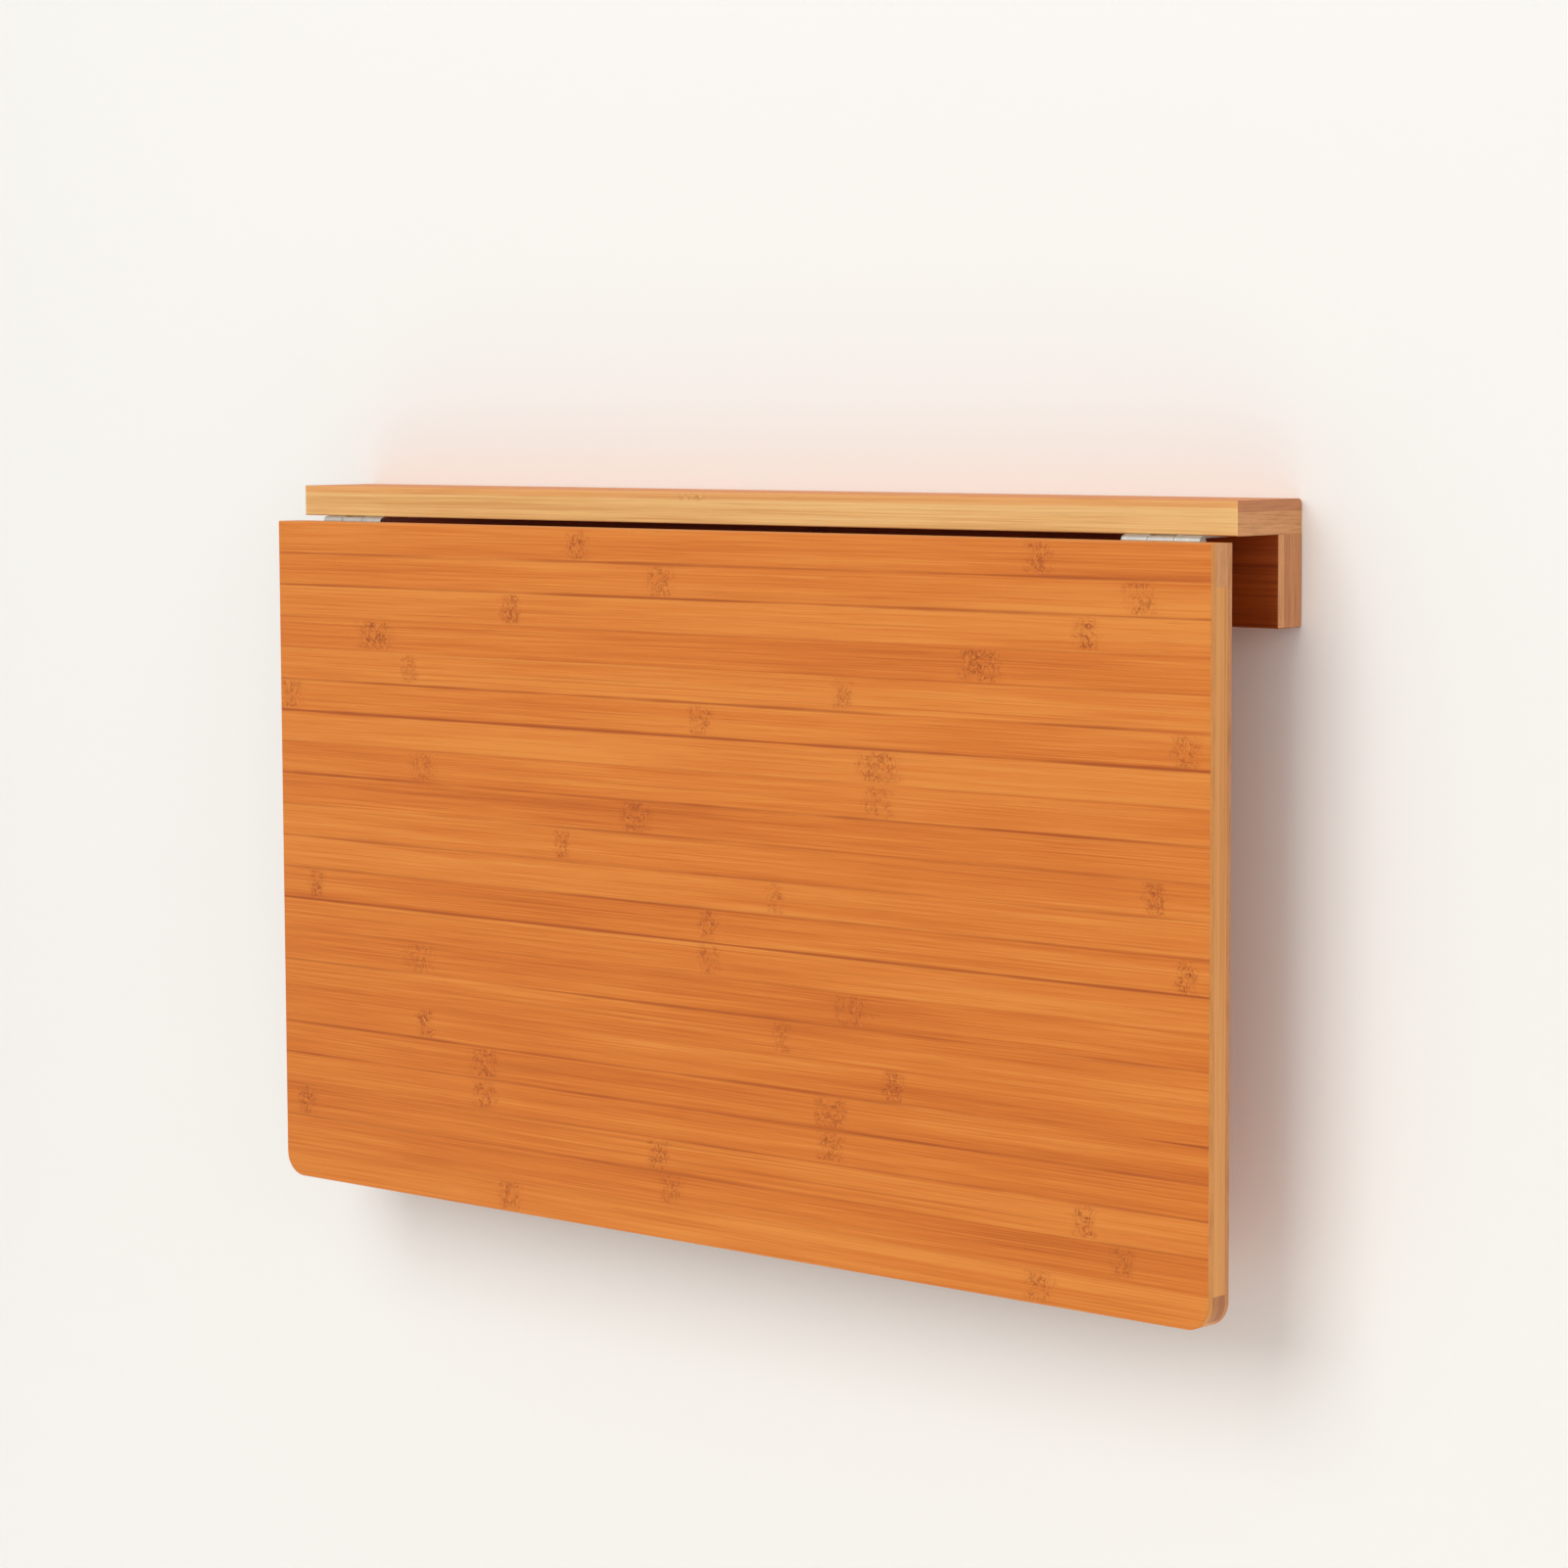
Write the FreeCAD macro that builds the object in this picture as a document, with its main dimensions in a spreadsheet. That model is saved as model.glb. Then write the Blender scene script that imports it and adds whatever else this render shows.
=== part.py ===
"""Wall mounted drop leaf table in bamboo, folded: a shelf on a wall rail, a hinged leaf and a prop frame.

Frame: millimetres, +Z up, the wall is the plane y = 0 and the table stands out towards -Y.
The origin is on the wall, at the middle of the row of wall screw holes.
"""
import FreeCAD, Part
import Sketcher
import os
import re

SIZES = {
    # Boards
    "table_width": 700,
    "board_thick": 18,
    "shelf_depth": 55,
    "rail_height": 48,
    "rail_thick": 20,
    "arris_radius": 1,
    "shelf_back_radius": 3,
    # Leaf, laminated from two layers round a middle of strips
    "leaf_length": 400,
    "leaf_layer": 4,
    "leaf_hinge_strip": 22,
    "leaf_free_strip": 18,
    "leaf_end_strip": 24,
    "leaf_corner_radius": 14,
    # Gaps and fits
    "part_gap": 0.3,
    "fit_clearance": 0.05,
    # Butt hinges under the shelf's front edge: the axis lies below the shelf and in front of it
    "hinge_drop": 3,
    "swing_gap": 1,
    "hinge_inset": 21,
    "hinge_length": 50,
    "hinge_plate_width": 21,
    "hinge_plate_thick": 1.2,
    "knuckle_radius": 2.7,
    "hinge_pin_radius": 1.5,
    "hinge_screw_radius": 1.5,
    "hinge_screw_head": 2.6,
    "hinge_screw_length": 12,
    "hinge_screw_inset": 8,
    "hinge_screw_reach": 12,
    # Wall screw holes and the dowels between rail and shelf
    "wall_hole_inset": 50,
    "wall_hole_radius": 2.75,
    "wall_head_radius": 5.5,
    "shelf_dowel_radius": 4,
    "shelf_dowel_length": 30,
    "shelf_dowel_bite": 12,
    "shelf_dowel_inset": 20,
    # Blocks on the rail's front, with pads that the hanging leaf rests on
    "block_inset": 105,
    "block_drop": 12,
    "block_width": 30,
    "block_height": 34,
    "block_dowel_radius": 3,
    "block_dowel_length": 20,
    "block_dowel_inset": 10,
    "pad_radius": 8,
    "pad_height": 12,
    # Prop frame on the leaf's back
    "arm_inset": 150,
    "arm_width": 15,
    "arm_depth": 20,
    "arm_swing_gap": 1,
    "pivot_reach": 150,
    "pivot_pin_radius": 3,
    "pin_head_radius": 4.5,
    "pin_head_thick": 1.5,
    "foot_rod_radius": 6,
    "foot_sleeve_wall": 5,
    "foot_sleeve_length": 40,
    "foot_seat_height": 10,
    # Pivot brackets
    "bracket_thick": 2,
    "bracket_length": 44,
    "ear_radius": 9,
    "bracket_screw_radius": 1.75,
    "bracket_screw_head": 3.4,
    "bracket_screw_length": 12,
    "bracket_screw_reach": 15,
}

HALF_WIDTH = "table_width / 2"
SHELF_UNDER_Z = "rail_height / 2"
AXIS_Y = "-(shelf_depth + swing_gap)"
AXIS_Z = "(rail_height / 2 - hinge_drop)"
LEAF_BACK_Y = "-(shelf_depth + swing_gap + hinge_drop)"
LEAF_MIDDLE_Y = f"({LEAF_BACK_Y} - leaf_layer)"
LEAF_LOW_Z = f"({AXIS_Z} - leaf_length)"
LEAF_MIDDLE = "(board_thick - 2 * leaf_layer)"
PIVOT_STANDOFF = "(bracket_thick + arm_swing_gap + arm_depth / 2)"
PIVOT_Y = f"({LEAF_BACK_Y} + {PIVOT_STANDOFF})"
PIVOT_Z = f"({AXIS_Z} - pivot_reach)"
SLEEVE_RADIUS = "(foot_rod_radius + foot_sleeve_wall)"
# With the leaf level, the arm runs from its pivot back to the rail's front face, where the foot seats
ARM_ACROSS = f"(shelf_depth + swing_gap + pivot_reach - rail_thick - part_gap - {SLEEVE_RADIUS})"
ARM_DROP = f"({AXIS_Z} + hinge_drop - {PIVOT_STANDOFF} + rail_height / 2 - foot_seat_height)"
ARM_RUN = f"sqrt({ARM_ACROSS} ^ 2 + {ARM_DROP} ^ 2)"
FOOT_Z = f"({PIVOT_Z} - {ARM_RUN})"

SIDES = (("left", -1), ("right", 1))
AXIS_TURN = {
    "+x": FreeCAD.Rotation(FreeCAD.Vector(0, 1, 0), 90),
    "+y": FreeCAD.Rotation(FreeCAD.Vector(1, 0, 0), -90),
    "-y": FreeCAD.Rotation(FreeCAD.Vector(1, 0, 0), 90),
    "+z": FreeCAD.Rotation(),
}
TIP_RADIUS_SHARE = 0.2

doc = FreeCAD.newDocument("wall_drop_leaf_table")
sheet = doc.addObject("Spreadsheet::Sheet", "Sizes")
for row, (alias, value) in enumerate(SIZES.items(), start=1):
    sheet.set(f"A{row}", alias)
    sheet.set(f"B{row}", str(value))
    sheet.setAlias(f"B{row}", alias)
doc.recompute()

nodes = []


def bound(text):
    """Expression with every size name pointing at its cell."""
    return re.sub(r"[a-z_]+", lambda word: f"Sizes.{word[0]}" if word[0] in SIZES else word[0], str(text))


def place(item, point, turn=FreeCAD.Rotation()):
    item.Placement = FreeCAD.Placement(FreeCAD.Vector(), turn)
    for name, text in zip("xyz", point):
        item.setExpression(f"Placement.Base.{name}", bound(text))


def box(name, low, size):
    made = doc.addObject("Part::Box", name)
    for key, text in zip(("Length", "Width", "Height"), size):
        made.setExpression(key, bound(text))
    place(made, low)
    return made


def rod(name, start, axis, radius, length):
    made = doc.addObject("Part::Cylinder", name)
    made.setExpression("Radius", bound(radius))
    made.setExpression("Height", bound(length))
    place(made, start, AXIS_TURN[axis])
    return made


def cone(name, start, axis, first_radius, last_radius, length):
    made = doc.addObject("Part::Cone", name)
    made.setExpression("Radius1", bound(first_radius))
    made.setExpression("Radius2", bound(last_radius))
    made.setExpression("Height", bound(length))
    place(made, start, AXIS_TURN[axis])
    return made


def fuse(name, items):
    made = doc.addObject("Part::MultiFuse", name)
    made.Shapes = items
    made.Refine = True
    return made


def group(name, items):
    made = doc.addObject("Part::Compound", name)
    made.Links = items
    return made


def cut(name, base, tools):
    made = doc.addObject("Part::Cut", name)
    made.Base = base
    made.Tool = tools[0] if len(tools) == 1 else fuse(f"{name}_tools", tools)
    made.Refine = True
    return made


def node(label, item):
    item.Label = label
    nodes.append(item)
    return item


def along(point, axis, offset):
    """Point moved by an offset along an axis."""
    index = "xyz".index(axis[1])
    return [f"{text} {axis[0]} ({offset})" if place_index == index else text
            for place_index, text in enumerate(point)]


def edge_names(shape, wanted):
    return [f"Edge{index}" for index, edge in enumerate(shape.Edges, start=1) if wanted(edge.BoundBox)]


def panel(name, low, width, height, thick):
    """Board with an upright rectangular face: low is its lower left corner on the wall side."""
    body = doc.addObject("PartDesign::Body", name)
    plane = [item for item in body.Origin.OriginFeatures if item.Role == "XZ_Plane"][0]
    sketch = body.newObject("Sketcher::SketchObject", f"{name}_outline")
    sketch.AttachmentSupport = [(plane, "")]
    sketch.MapMode = "FlatFace"
    corners = [FreeCAD.Vector(0, 0), FreeCAD.Vector(1, 0), FreeCAD.Vector(1, 1), FreeCAD.Vector(0, 1)]
    for index in range(4):
        sketch.addGeometry(Part.LineSegment(corners[index], corners[(index + 1) % 4]))
    for index in range(4):
        sketch.addConstraint(Sketcher.Constraint("Coincident", index, 2, (index + 1) % 4, 1))
    for index, kind in enumerate(("Horizontal", "Vertical", "Horizontal", "Vertical")):
        sketch.addConstraint(Sketcher.Constraint(kind, index))
    sketch.addConstraint(Sketcher.Constraint("Coincident", 0, 1, -1, 1))
    across = sketch.addConstraint(Sketcher.Constraint("DistanceX", 0, 1, 0, 2, 1))
    up = sketch.addConstraint(Sketcher.Constraint("DistanceY", 1, 1, 1, 2, 1))
    sketch.setExpression(f"Constraints[{across}]", bound(width))
    sketch.setExpression(f"Constraints[{up}]", bound(height))
    pad = body.newObject("PartDesign::Pad", f"{name}_pad")
    pad.Profile = sketch
    pad.setExpression("Length", bound(thick))
    place(body, low)
    doc.recompute()
    return body


def round_edges(body, name, radius, wanted):
    """Rounds the edges of a board whose box, in the board's own frame, passes the test."""
    last = body.Tip
    fillet = body.newObject("PartDesign::Fillet", name)
    fillet.Base = (last, edge_names(last.Shape, wanted))
    fillet.setExpression("Radius", bound(radius))
    doc.recompute()


def screw(name, head, axis, radius, head_radius, length):
    """Countersunk wood screw: head is the middle of its flat face, axis the way that it is driven."""
    head_depth = f"({head_radius} - {radius})"
    tip_length = f"(2 * {radius})"
    shank_length = f"({length} - {head_depth} - {tip_length})"
    shank_start = along(head, axis, head_depth)
    tip_start = along(shank_start, axis, shank_length)
    return fuse(name, [
        cone(f"{name}_head", head, axis, head_radius, radius, head_depth),
        rod(f"{name}_shank", shank_start, axis, radius, shank_length),
        cone(f"{name}_tip", tip_start, axis, radius, f"{radius} * {TIP_RADIUS_SHARE}", tip_length),
    ])


def screw_tools(name, head, axis, radius, head_radius, length):
    """Countersink and pilot hole of a wood screw, larger than it by the fit clearance."""
    return [
        cone(f"{name}_sink", head, axis, f"{head_radius} + fit_clearance", f"{radius} + fit_clearance",
             f"{head_radius} - {radius}"),
        rod(f"{name}_pilot", head, axis, f"{radius} + fit_clearance", f"{length} + fit_clearance"),
    ]


WALL_HOLE_COUNT = 4
WALL_HOLE_STEP = f"(table_width - 2 * wall_hole_inset) / {WALL_HOLE_COUNT - 1}"
FIRST_WALL_HOLE = f"(wall_hole_inset - {HALF_WIDTH})"
wall_hole_tools = []
for index in range(WALL_HOLE_COUNT):
    hole_x = f"{FIRST_WALL_HOLE} + {index} * {WALL_HOLE_STEP}"
    hole_start = (hole_x, "-(rail_thick + part_gap)", "0")
    sink_start = (hole_x, "-rail_thick", "0")
    wall_hole_tools.append(
        rod(f"wall_hole_{index}", hole_start, "+y", "wall_hole_radius", "rail_thick + 2 * part_gap"))
    wall_hole_tools.append(
        cone(f"wall_sink_{index}", sink_start, "+y", "wall_head_radius", "wall_hole_radius",
             "wall_head_radius - wall_hole_radius"))

# Dowels between rail and shelf: one midway between each pair of wall holes and one near each end
dowel_places = [f"{FIRST_WALL_HOLE} + {index + 0.5} * {WALL_HOLE_STEP}"
                for index in range(WALL_HOLE_COUNT - 1)]
dowel_places += [f"{sign} * ({HALF_WIDTH} - shelf_dowel_inset)" for _, sign in SIDES]
DOWEL_LOW_Z = f"({SHELF_UNDER_Z} + shelf_dowel_bite - shelf_dowel_length)"
shelf_dowels = []
shelf_dowel_tools = []
for index, dowel_x in enumerate(dowel_places):
    low = (dowel_x, "-rail_thick / 2", DOWEL_LOW_Z)
    tool_low = (dowel_x, "-rail_thick / 2", f"{DOWEL_LOW_Z} - fit_clearance")
    shelf_dowels.append(rod(f"shelf_dowel_{index}", low, "+z", "shelf_dowel_radius", "shelf_dowel_length"))
    shelf_dowel_tools.append(
        rod(f"shelf_dowel_hole_{index}", tool_low, "+z", "shelf_dowel_radius + fit_clearance",
            "shelf_dowel_length + 2 * fit_clearance"))
node("shelf_dowels", group("ShelfDowels", shelf_dowels))

# Rest blocks and pads
BLOCK_TOP_Z = f"({SHELF_UNDER_Z} - block_drop)"
BLOCK_LOW_Z = f"({BLOCK_TOP_Z} - block_height)"
block_dowels = []
block_dowel_tools = []
for side, sign in SIDES:
    block_x = f"{sign} * ({HALF_WIDTH} - block_inset)"
    side_tools = []
    for level, dowel_z in (("low", f"{BLOCK_LOW_Z} + block_dowel_inset"),
                           ("high", f"{BLOCK_TOP_Z} - block_dowel_inset")):
        start = (block_x, "-(rail_thick + block_dowel_length / 2)", dowel_z)
        tool_start = along(start, "-y", "fit_clearance")
        block_dowels.append(
            rod(f"block_dowel_{side}_{level}", start, "+y", "block_dowel_radius", "block_dowel_length"))
        side_tools.append(
            rod(f"block_dowel_hole_{side}_{level}", tool_start, "+y", "block_dowel_radius + fit_clearance",
                "block_dowel_length + 2 * fit_clearance"))
    block_dowel_tools += side_tools
    block = box(f"block_{side}", (f"{block_x} - block_width / 2", "-shelf_depth", BLOCK_LOW_Z),
                ("block_width", "shelf_depth - rail_thick", "block_height"))
    node(f"rest_block_{side}", cut(f"rest_block_{side}", block, side_tools))
    pad_start = (block_x, "-shelf_depth", f"{BLOCK_LOW_Z} + pad_height")
    node(f"rest_pad_{side}",
         rod(f"rest_pad_{side}", pad_start, "-y", "pad_radius", "swing_gap + hinge_drop - part_gap"))
node("rest_block_dowels", group("RestBlockDowels", block_dowels))

# Hinges: two end knuckles on the fixed plate, the middle knuckle on the moving plate
THIRD = "hinge_length / 3"
ROOT_CLEAR = "(hinge_drop + 2 * part_gap)"
fixed_screws = []
fixed_screw_tools = []
moving_screws = []
moving_screw_tools = []
HINGE_SCREW = ("hinge_screw_radius", "hinge_screw_head", "hinge_screw_length")
for side, sign in SIDES:
    hinge_x = f"{sign} * ({HALF_WIDTH} - hinge_inset - hinge_length / 2)"
    low_x = f"({hinge_x} - hinge_length / 2)"
    axis_start = (low_x, AXIS_Y, AXIS_Z)
    bore = rod(f"hinge_bore_{side}", along(axis_start, "-x", "part_gap"), "+x",
               "hinge_pin_radius + fit_clearance", "hinge_length + 2 * part_gap")
    node(f"hinge_pin_{side}", rod(f"hinge_pin_{side}", axis_start, "+x", "hinge_pin_radius", "hinge_length"))

    side_fixed_tools = []
    side_moving_tools = []
    for index in (-1, 0, 1):
        screw_x = f"{hinge_x} + {index} * (hinge_length / 2 - hinge_screw_inset)"
        fixed_head = (screw_x, f"{AXIS_Y} + hinge_screw_reach", f"{SHELF_UNDER_Z} - hinge_plate_thick")
        moving_head = (screw_x, f"{LEAF_BACK_Y} + hinge_plate_thick", f"{AXIS_Z} - hinge_screw_reach")
        name = f"hinge_screw_{side}_{index + 1}"
        fixed_screws.append(screw(f"fixed_{name}", fixed_head, "+z", *HINGE_SCREW))
        moving_screws.append(screw(f"moving_{name}", moving_head, "-y", *HINGE_SCREW))
        side_fixed_tools += screw_tools(f"fixed_{name}", fixed_head, "+z", *HINGE_SCREW)
        side_moving_tools += screw_tools(f"moving_{name}", moving_head, "-y", *HINGE_SCREW)
    fixed_screw_tools += side_fixed_tools
    moving_screw_tools += side_moving_tools

    fixed_plate = box(f"fixed_plate_{side}",
                      (low_x, f"{AXIS_Y} + part_gap", f"{SHELF_UNDER_Z} - hinge_plate_thick"),
                      ("hinge_length", "hinge_plate_width - part_gap", "hinge_plate_thick"))
    fixed_notch = box(f"fixed_notch_{side}",
                      (f"{low_x} + {THIRD} - part_gap", AXIS_Y, AXIS_Z),
                      (f"{THIRD} + 2 * part_gap", ROOT_CLEAR, "2 * hinge_drop"))
    fixed_knuckles = [
        rod(f"fixed_knuckle_{side}_{name}", along(axis_start, "+x", offset), "+x", "knuckle_radius",
            f"{THIRD} - part_gap")
        for name, offset in (("first", "0"), ("last", f"2 * {THIRD} + part_gap"))]
    fixed_form = fuse(f"fixed_form_{side}",
                      [cut(f"fixed_notched_{side}", fixed_plate, [fixed_notch])] + fixed_knuckles)
    node(f"hinge_plate_fixed_{side}",
         cut(f"hinge_plate_fixed_{side}", fixed_form, [bore] + side_fixed_tools))

    moving_plate = box(f"moving_plate_{side}", (low_x, LEAF_BACK_Y, f"{AXIS_Z} - hinge_plate_width"),
                       ("hinge_length", "hinge_plate_thick", "hinge_plate_width - part_gap"))
    moving_notches = [
        box(f"moving_notch_{side}_{name}",
            (f"{low_x} + {offset}", f"{LEAF_BACK_Y} - hinge_drop", f"{AXIS_Z} - {ROOT_CLEAR}"),
            (f"{THIRD} + part_gap", "2 * hinge_drop", ROOT_CLEAR))
        for name, offset in (("first", "(-part_gap)"), ("last", f"2 * {THIRD}"))]
    moving_knuckle = rod(f"moving_knuckle_{side}", along(axis_start, "+x", THIRD), "+x", "knuckle_radius",
                         THIRD)
    moving_form = fuse(f"moving_form_{side}",
                       [cut(f"moving_notched_{side}", moving_plate, moving_notches), moving_knuckle])
    node(f"hinge_plate_moving_{side}",
         cut(f"hinge_plate_moving_{side}", moving_form, [bore] + side_moving_tools))
node("fixed_plate_screws", group("FixedPlateScrews", fixed_screws))
node("moving_plate_screws", group("MovingPlateScrews", moving_screws))

# Rail and shelf
NEAR = 1e-4
rail = panel("Rail", (f"-({HALF_WIDTH})", "0", f"-({SHELF_UNDER_Z})"),
             "table_width", "rail_height", "rail_thick")
round_edges(rail, "RailArris", "arris_radius", lambda edge: edge.ZMin < NEAR and edge.YMin < -NEAR)
node("wall_rail", cut("wall_rail", rail, wall_hole_tools + shelf_dowel_tools + block_dowel_tools))

shelf = panel("Shelf", (f"-({HALF_WIDTH})", "0", SHELF_UNDER_Z), "table_width", "board_thick", "shelf_depth")
round_edges(shelf, "ShelfBackRound", "shelf_back_radius",
            lambda edge: edge.YMin > -NEAR and edge.ZMin > NEAR)
round_edges(shelf, "ShelfFrontRound", "arris_radius",
            lambda edge: edge.YMax < -NEAR and edge.YLength < NEAR)
node("shelf_board", cut("shelf_board", shelf, shelf_dowel_tools + fixed_screw_tools))

# Pivot brackets, pins and arms of the prop frame
EAR_GAP = "(arm_width + 2 * part_gap)"
BRACKET_WIDTH = f"({EAR_GAP} + 2 * bracket_thick)"
BRACKET_SCREW = ("bracket_screw_radius", "bracket_screw_head", "bracket_screw_length")
bracket_screws = []
bracket_screw_tools = []
for side, sign in SIDES:
    arm_x = f"{sign} * ({HALF_WIDTH} - arm_inset)"
    pivot = (f"{arm_x} - {BRACKET_WIDTH} / 2", PIVOT_Y, PIVOT_Z)
    foot = (f"{arm_x} - {BRACKET_WIDTH} / 2", PIVOT_Y, FOOT_Z)
    pivot_bore = rod(f"pivot_bore_{side}", pivot, "+x", "pivot_pin_radius + fit_clearance", BRACKET_WIDTH)
    foot_bore = rod(f"foot_bore_{side}", foot, "+x", "foot_rod_radius + fit_clearance", BRACKET_WIDTH)

    side_tools = []
    for level, offset in (("low", -1), ("high", 1)):
        head = (arm_x, f"{LEAF_BACK_Y} + bracket_thick", f"{PIVOT_Z} + {offset} * bracket_screw_reach")
        bracket_screws.append(screw(f"bracket_screw_{side}_{level}", head, "-y", *BRACKET_SCREW))
        side_tools += screw_tools(f"bracket_screw_{side}_{level}", head, "-y", *BRACKET_SCREW)
    bracket_screw_tools += side_tools

    base = box(f"bracket_base_{side}",
               (f"{arm_x} - {BRACKET_WIDTH} / 2", LEAF_BACK_Y, f"{PIVOT_Z} - bracket_length / 2"),
               (BRACKET_WIDTH, "bracket_thick", "bracket_length"))
    ears = []
    for name, offset in (("first", "0"), ("last", f"{EAR_GAP} + bracket_thick")):
        ear_pivot = along(pivot, "+x", offset)
        ears.append(box(f"ear_{side}_{name}", (ear_pivot[0], LEAF_BACK_Y, f"{PIVOT_Z} - ear_radius"),
                        ("bracket_thick", PIVOT_STANDOFF, "2 * ear_radius")))
        ears.append(rod(f"ear_round_{side}_{name}", ear_pivot, "+x", "ear_radius", "bracket_thick"))
    node(f"pivot_bracket_{side}",
         cut(f"pivot_bracket_{side}", fuse(f"bracket_form_{side}", [base] + ears), [pivot_bore] + side_tools))

    pin_heads = [
        rod(f"pin_head_{side}_{name}", along(pivot, "+x", offset), "+x", "pin_head_radius", "pin_head_thick")
        for name, offset in (("first", "(-pin_head_thick)"), ("last", BRACKET_WIDTH))]
    pin_shank = rod(f"pin_shank_{side}", pivot, "+x", "pivot_pin_radius", BRACKET_WIDTH)
    node(f"pivot_pin_{side}", fuse(f"pivot_pin_{side}", [pin_shank] + pin_heads))

    arm_low_x = f"({arm_x} - arm_width / 2)"
    bar = box(f"arm_bar_{side}", (arm_low_x, f"{PIVOT_Y} - arm_depth / 2", FOOT_Z),
              ("arm_width", "arm_depth", ARM_RUN))
    bar_ends = [
        rod(f"arm_end_{side}_{name}", (arm_low_x, PIVOT_Y, end_z), "+x", "arm_depth / 2", "arm_width")
        for name, end_z in (("pivot", PIVOT_Z), ("foot", FOOT_Z))]
    node(f"prop_arm_{side}",
         cut(f"prop_arm_{side}", fuse(f"arm_form_{side}", [bar] + bar_ends), [pivot_bore, foot_bore]))

    sleeve_x = f"{sign} * ({HALF_WIDTH} - arm_inset - (arm_width + foot_sleeve_length) / 2)"
    sleeve_start = (f"{sleeve_x} - foot_sleeve_length / 2", PIVOT_Y, FOOT_Z)
    sleeve = rod(f"sleeve_{side}", sleeve_start, "+x", SLEEVE_RADIUS, "foot_sleeve_length")
    sleeve_bore = rod(f"sleeve_bore_{side}", sleeve_start, "+x", "foot_rod_radius + fit_clearance",
                      "foot_sleeve_length")
    node(f"prop_sleeve_{side}", cut(f"prop_sleeve_{side}", sleeve, [sleeve_bore]))
node("pivot_bracket_screws", group("PivotBracketScrews", bracket_screws))
FOOT_HALF = f"({HALF_WIDTH} - arm_inset + arm_width / 2)"
node("prop_foot_rod",
     rod("prop_foot_rod", (f"-{FOOT_HALF}", PIVOT_Y, FOOT_Z), "+x", "foot_rod_radius", f"2 * {FOOT_HALF}"))

# Leaf: face and back layer, and between them a frame of strips round a core
MIDDLE_LOW_Z = f"({LEAF_LOW_Z} + leaf_free_strip)"
MIDDLE_HEIGHT = "(leaf_length - leaf_hinge_strip - leaf_free_strip)"


def free_corner(edge):
    return edge.XLength < NEAR and edge.ZMax < NEAR and edge.YLength > NEAR


face = panel("LeafFace", (f"-({HALF_WIDTH})", f"{LEAF_MIDDLE_Y} - {LEAF_MIDDLE}", LEAF_LOW_Z),
             "table_width", "leaf_length", "leaf_layer")
round_edges(face, "FaceCorners", "leaf_corner_radius", free_corner)
round_edges(face, "FaceArris", "arris_radius", lambda edge: edge.YMax < -NEAR)
node("leaf_face_layer", face)

back = panel("LeafBack", (f"-({HALF_WIDTH})", LEAF_BACK_Y, LEAF_LOW_Z),
             "table_width", "leaf_length", "leaf_layer")
round_edges(back, "BackCorners", "leaf_corner_radius", free_corner)
round_edges(back, "BackArris", "arris_radius", lambda edge: edge.YMin > -NEAR)
node("leaf_back_layer", cut("leaf_back_layer", back, moving_screw_tools + bracket_screw_tools))

hinge_strip = panel("LeafHingeStrip", (f"-({HALF_WIDTH})", LEAF_MIDDLE_Y, f"{AXIS_Z} - leaf_hinge_strip"),
                    "table_width", "leaf_hinge_strip", LEAF_MIDDLE)
node("leaf_hinge_strip", cut("leaf_hinge_strip", hinge_strip, moving_screw_tools))

free_strip = panel("LeafFreeStrip", (f"-({HALF_WIDTH})", LEAF_MIDDLE_Y, LEAF_LOW_Z),
                   "table_width", "leaf_free_strip", LEAF_MIDDLE)
round_edges(free_strip, "FreeStripCorners", "leaf_corner_radius", free_corner)
node("leaf_free_strip", free_strip)

for side, strip_x in (("left", f"-({HALF_WIDTH})"), ("right", f"{HALF_WIDTH} - leaf_end_strip")):
    node(f"leaf_end_strip_{side}",
         panel(f"LeafEndStrip{side}", (strip_x, LEAF_MIDDLE_Y, MIDDLE_LOW_Z),
               "leaf_end_strip", MIDDLE_HEIGHT, LEAF_MIDDLE))

core = panel("LeafCore", (f"leaf_end_strip - {HALF_WIDTH}", LEAF_MIDDLE_Y, MIDDLE_LOW_Z),
             "table_width - 2 * leaf_end_strip", MIDDLE_HEIGHT, LEAF_MIDDLE)
node("leaf_core", cut("leaf_core", core, bracket_screw_tools))

# Every object is sound before anything is written
doc.recompute()
for item in doc.Objects:
    if "Invalid" in item.State or "Error" in item.State:
        raise RuntimeError(f"{item.Label} did not recompute: {item.State}")
for item in nodes:
    if item.Shape.isNull() or not item.Shape.isValid() or not item.Shape.Solids:
        raise RuntimeError(f"{item.Label} has no sound solid")

os.makedirs("parts", exist_ok=True)
for item in nodes:
    item.Shape.exportStep(f"parts/{item.Label}.step")
    print(item.Label, len(item.Shape.Solids), round(item.Shape.Volume, 1))
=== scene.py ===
"""Looks of the bamboo wall table: finishes of its boards and hardware, its prop frame, and a plain stage."""

import math
from functools import partial
from types import SimpleNamespace

import bmesh
import bpy
from mathutils import Matrix, Vector


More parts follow.
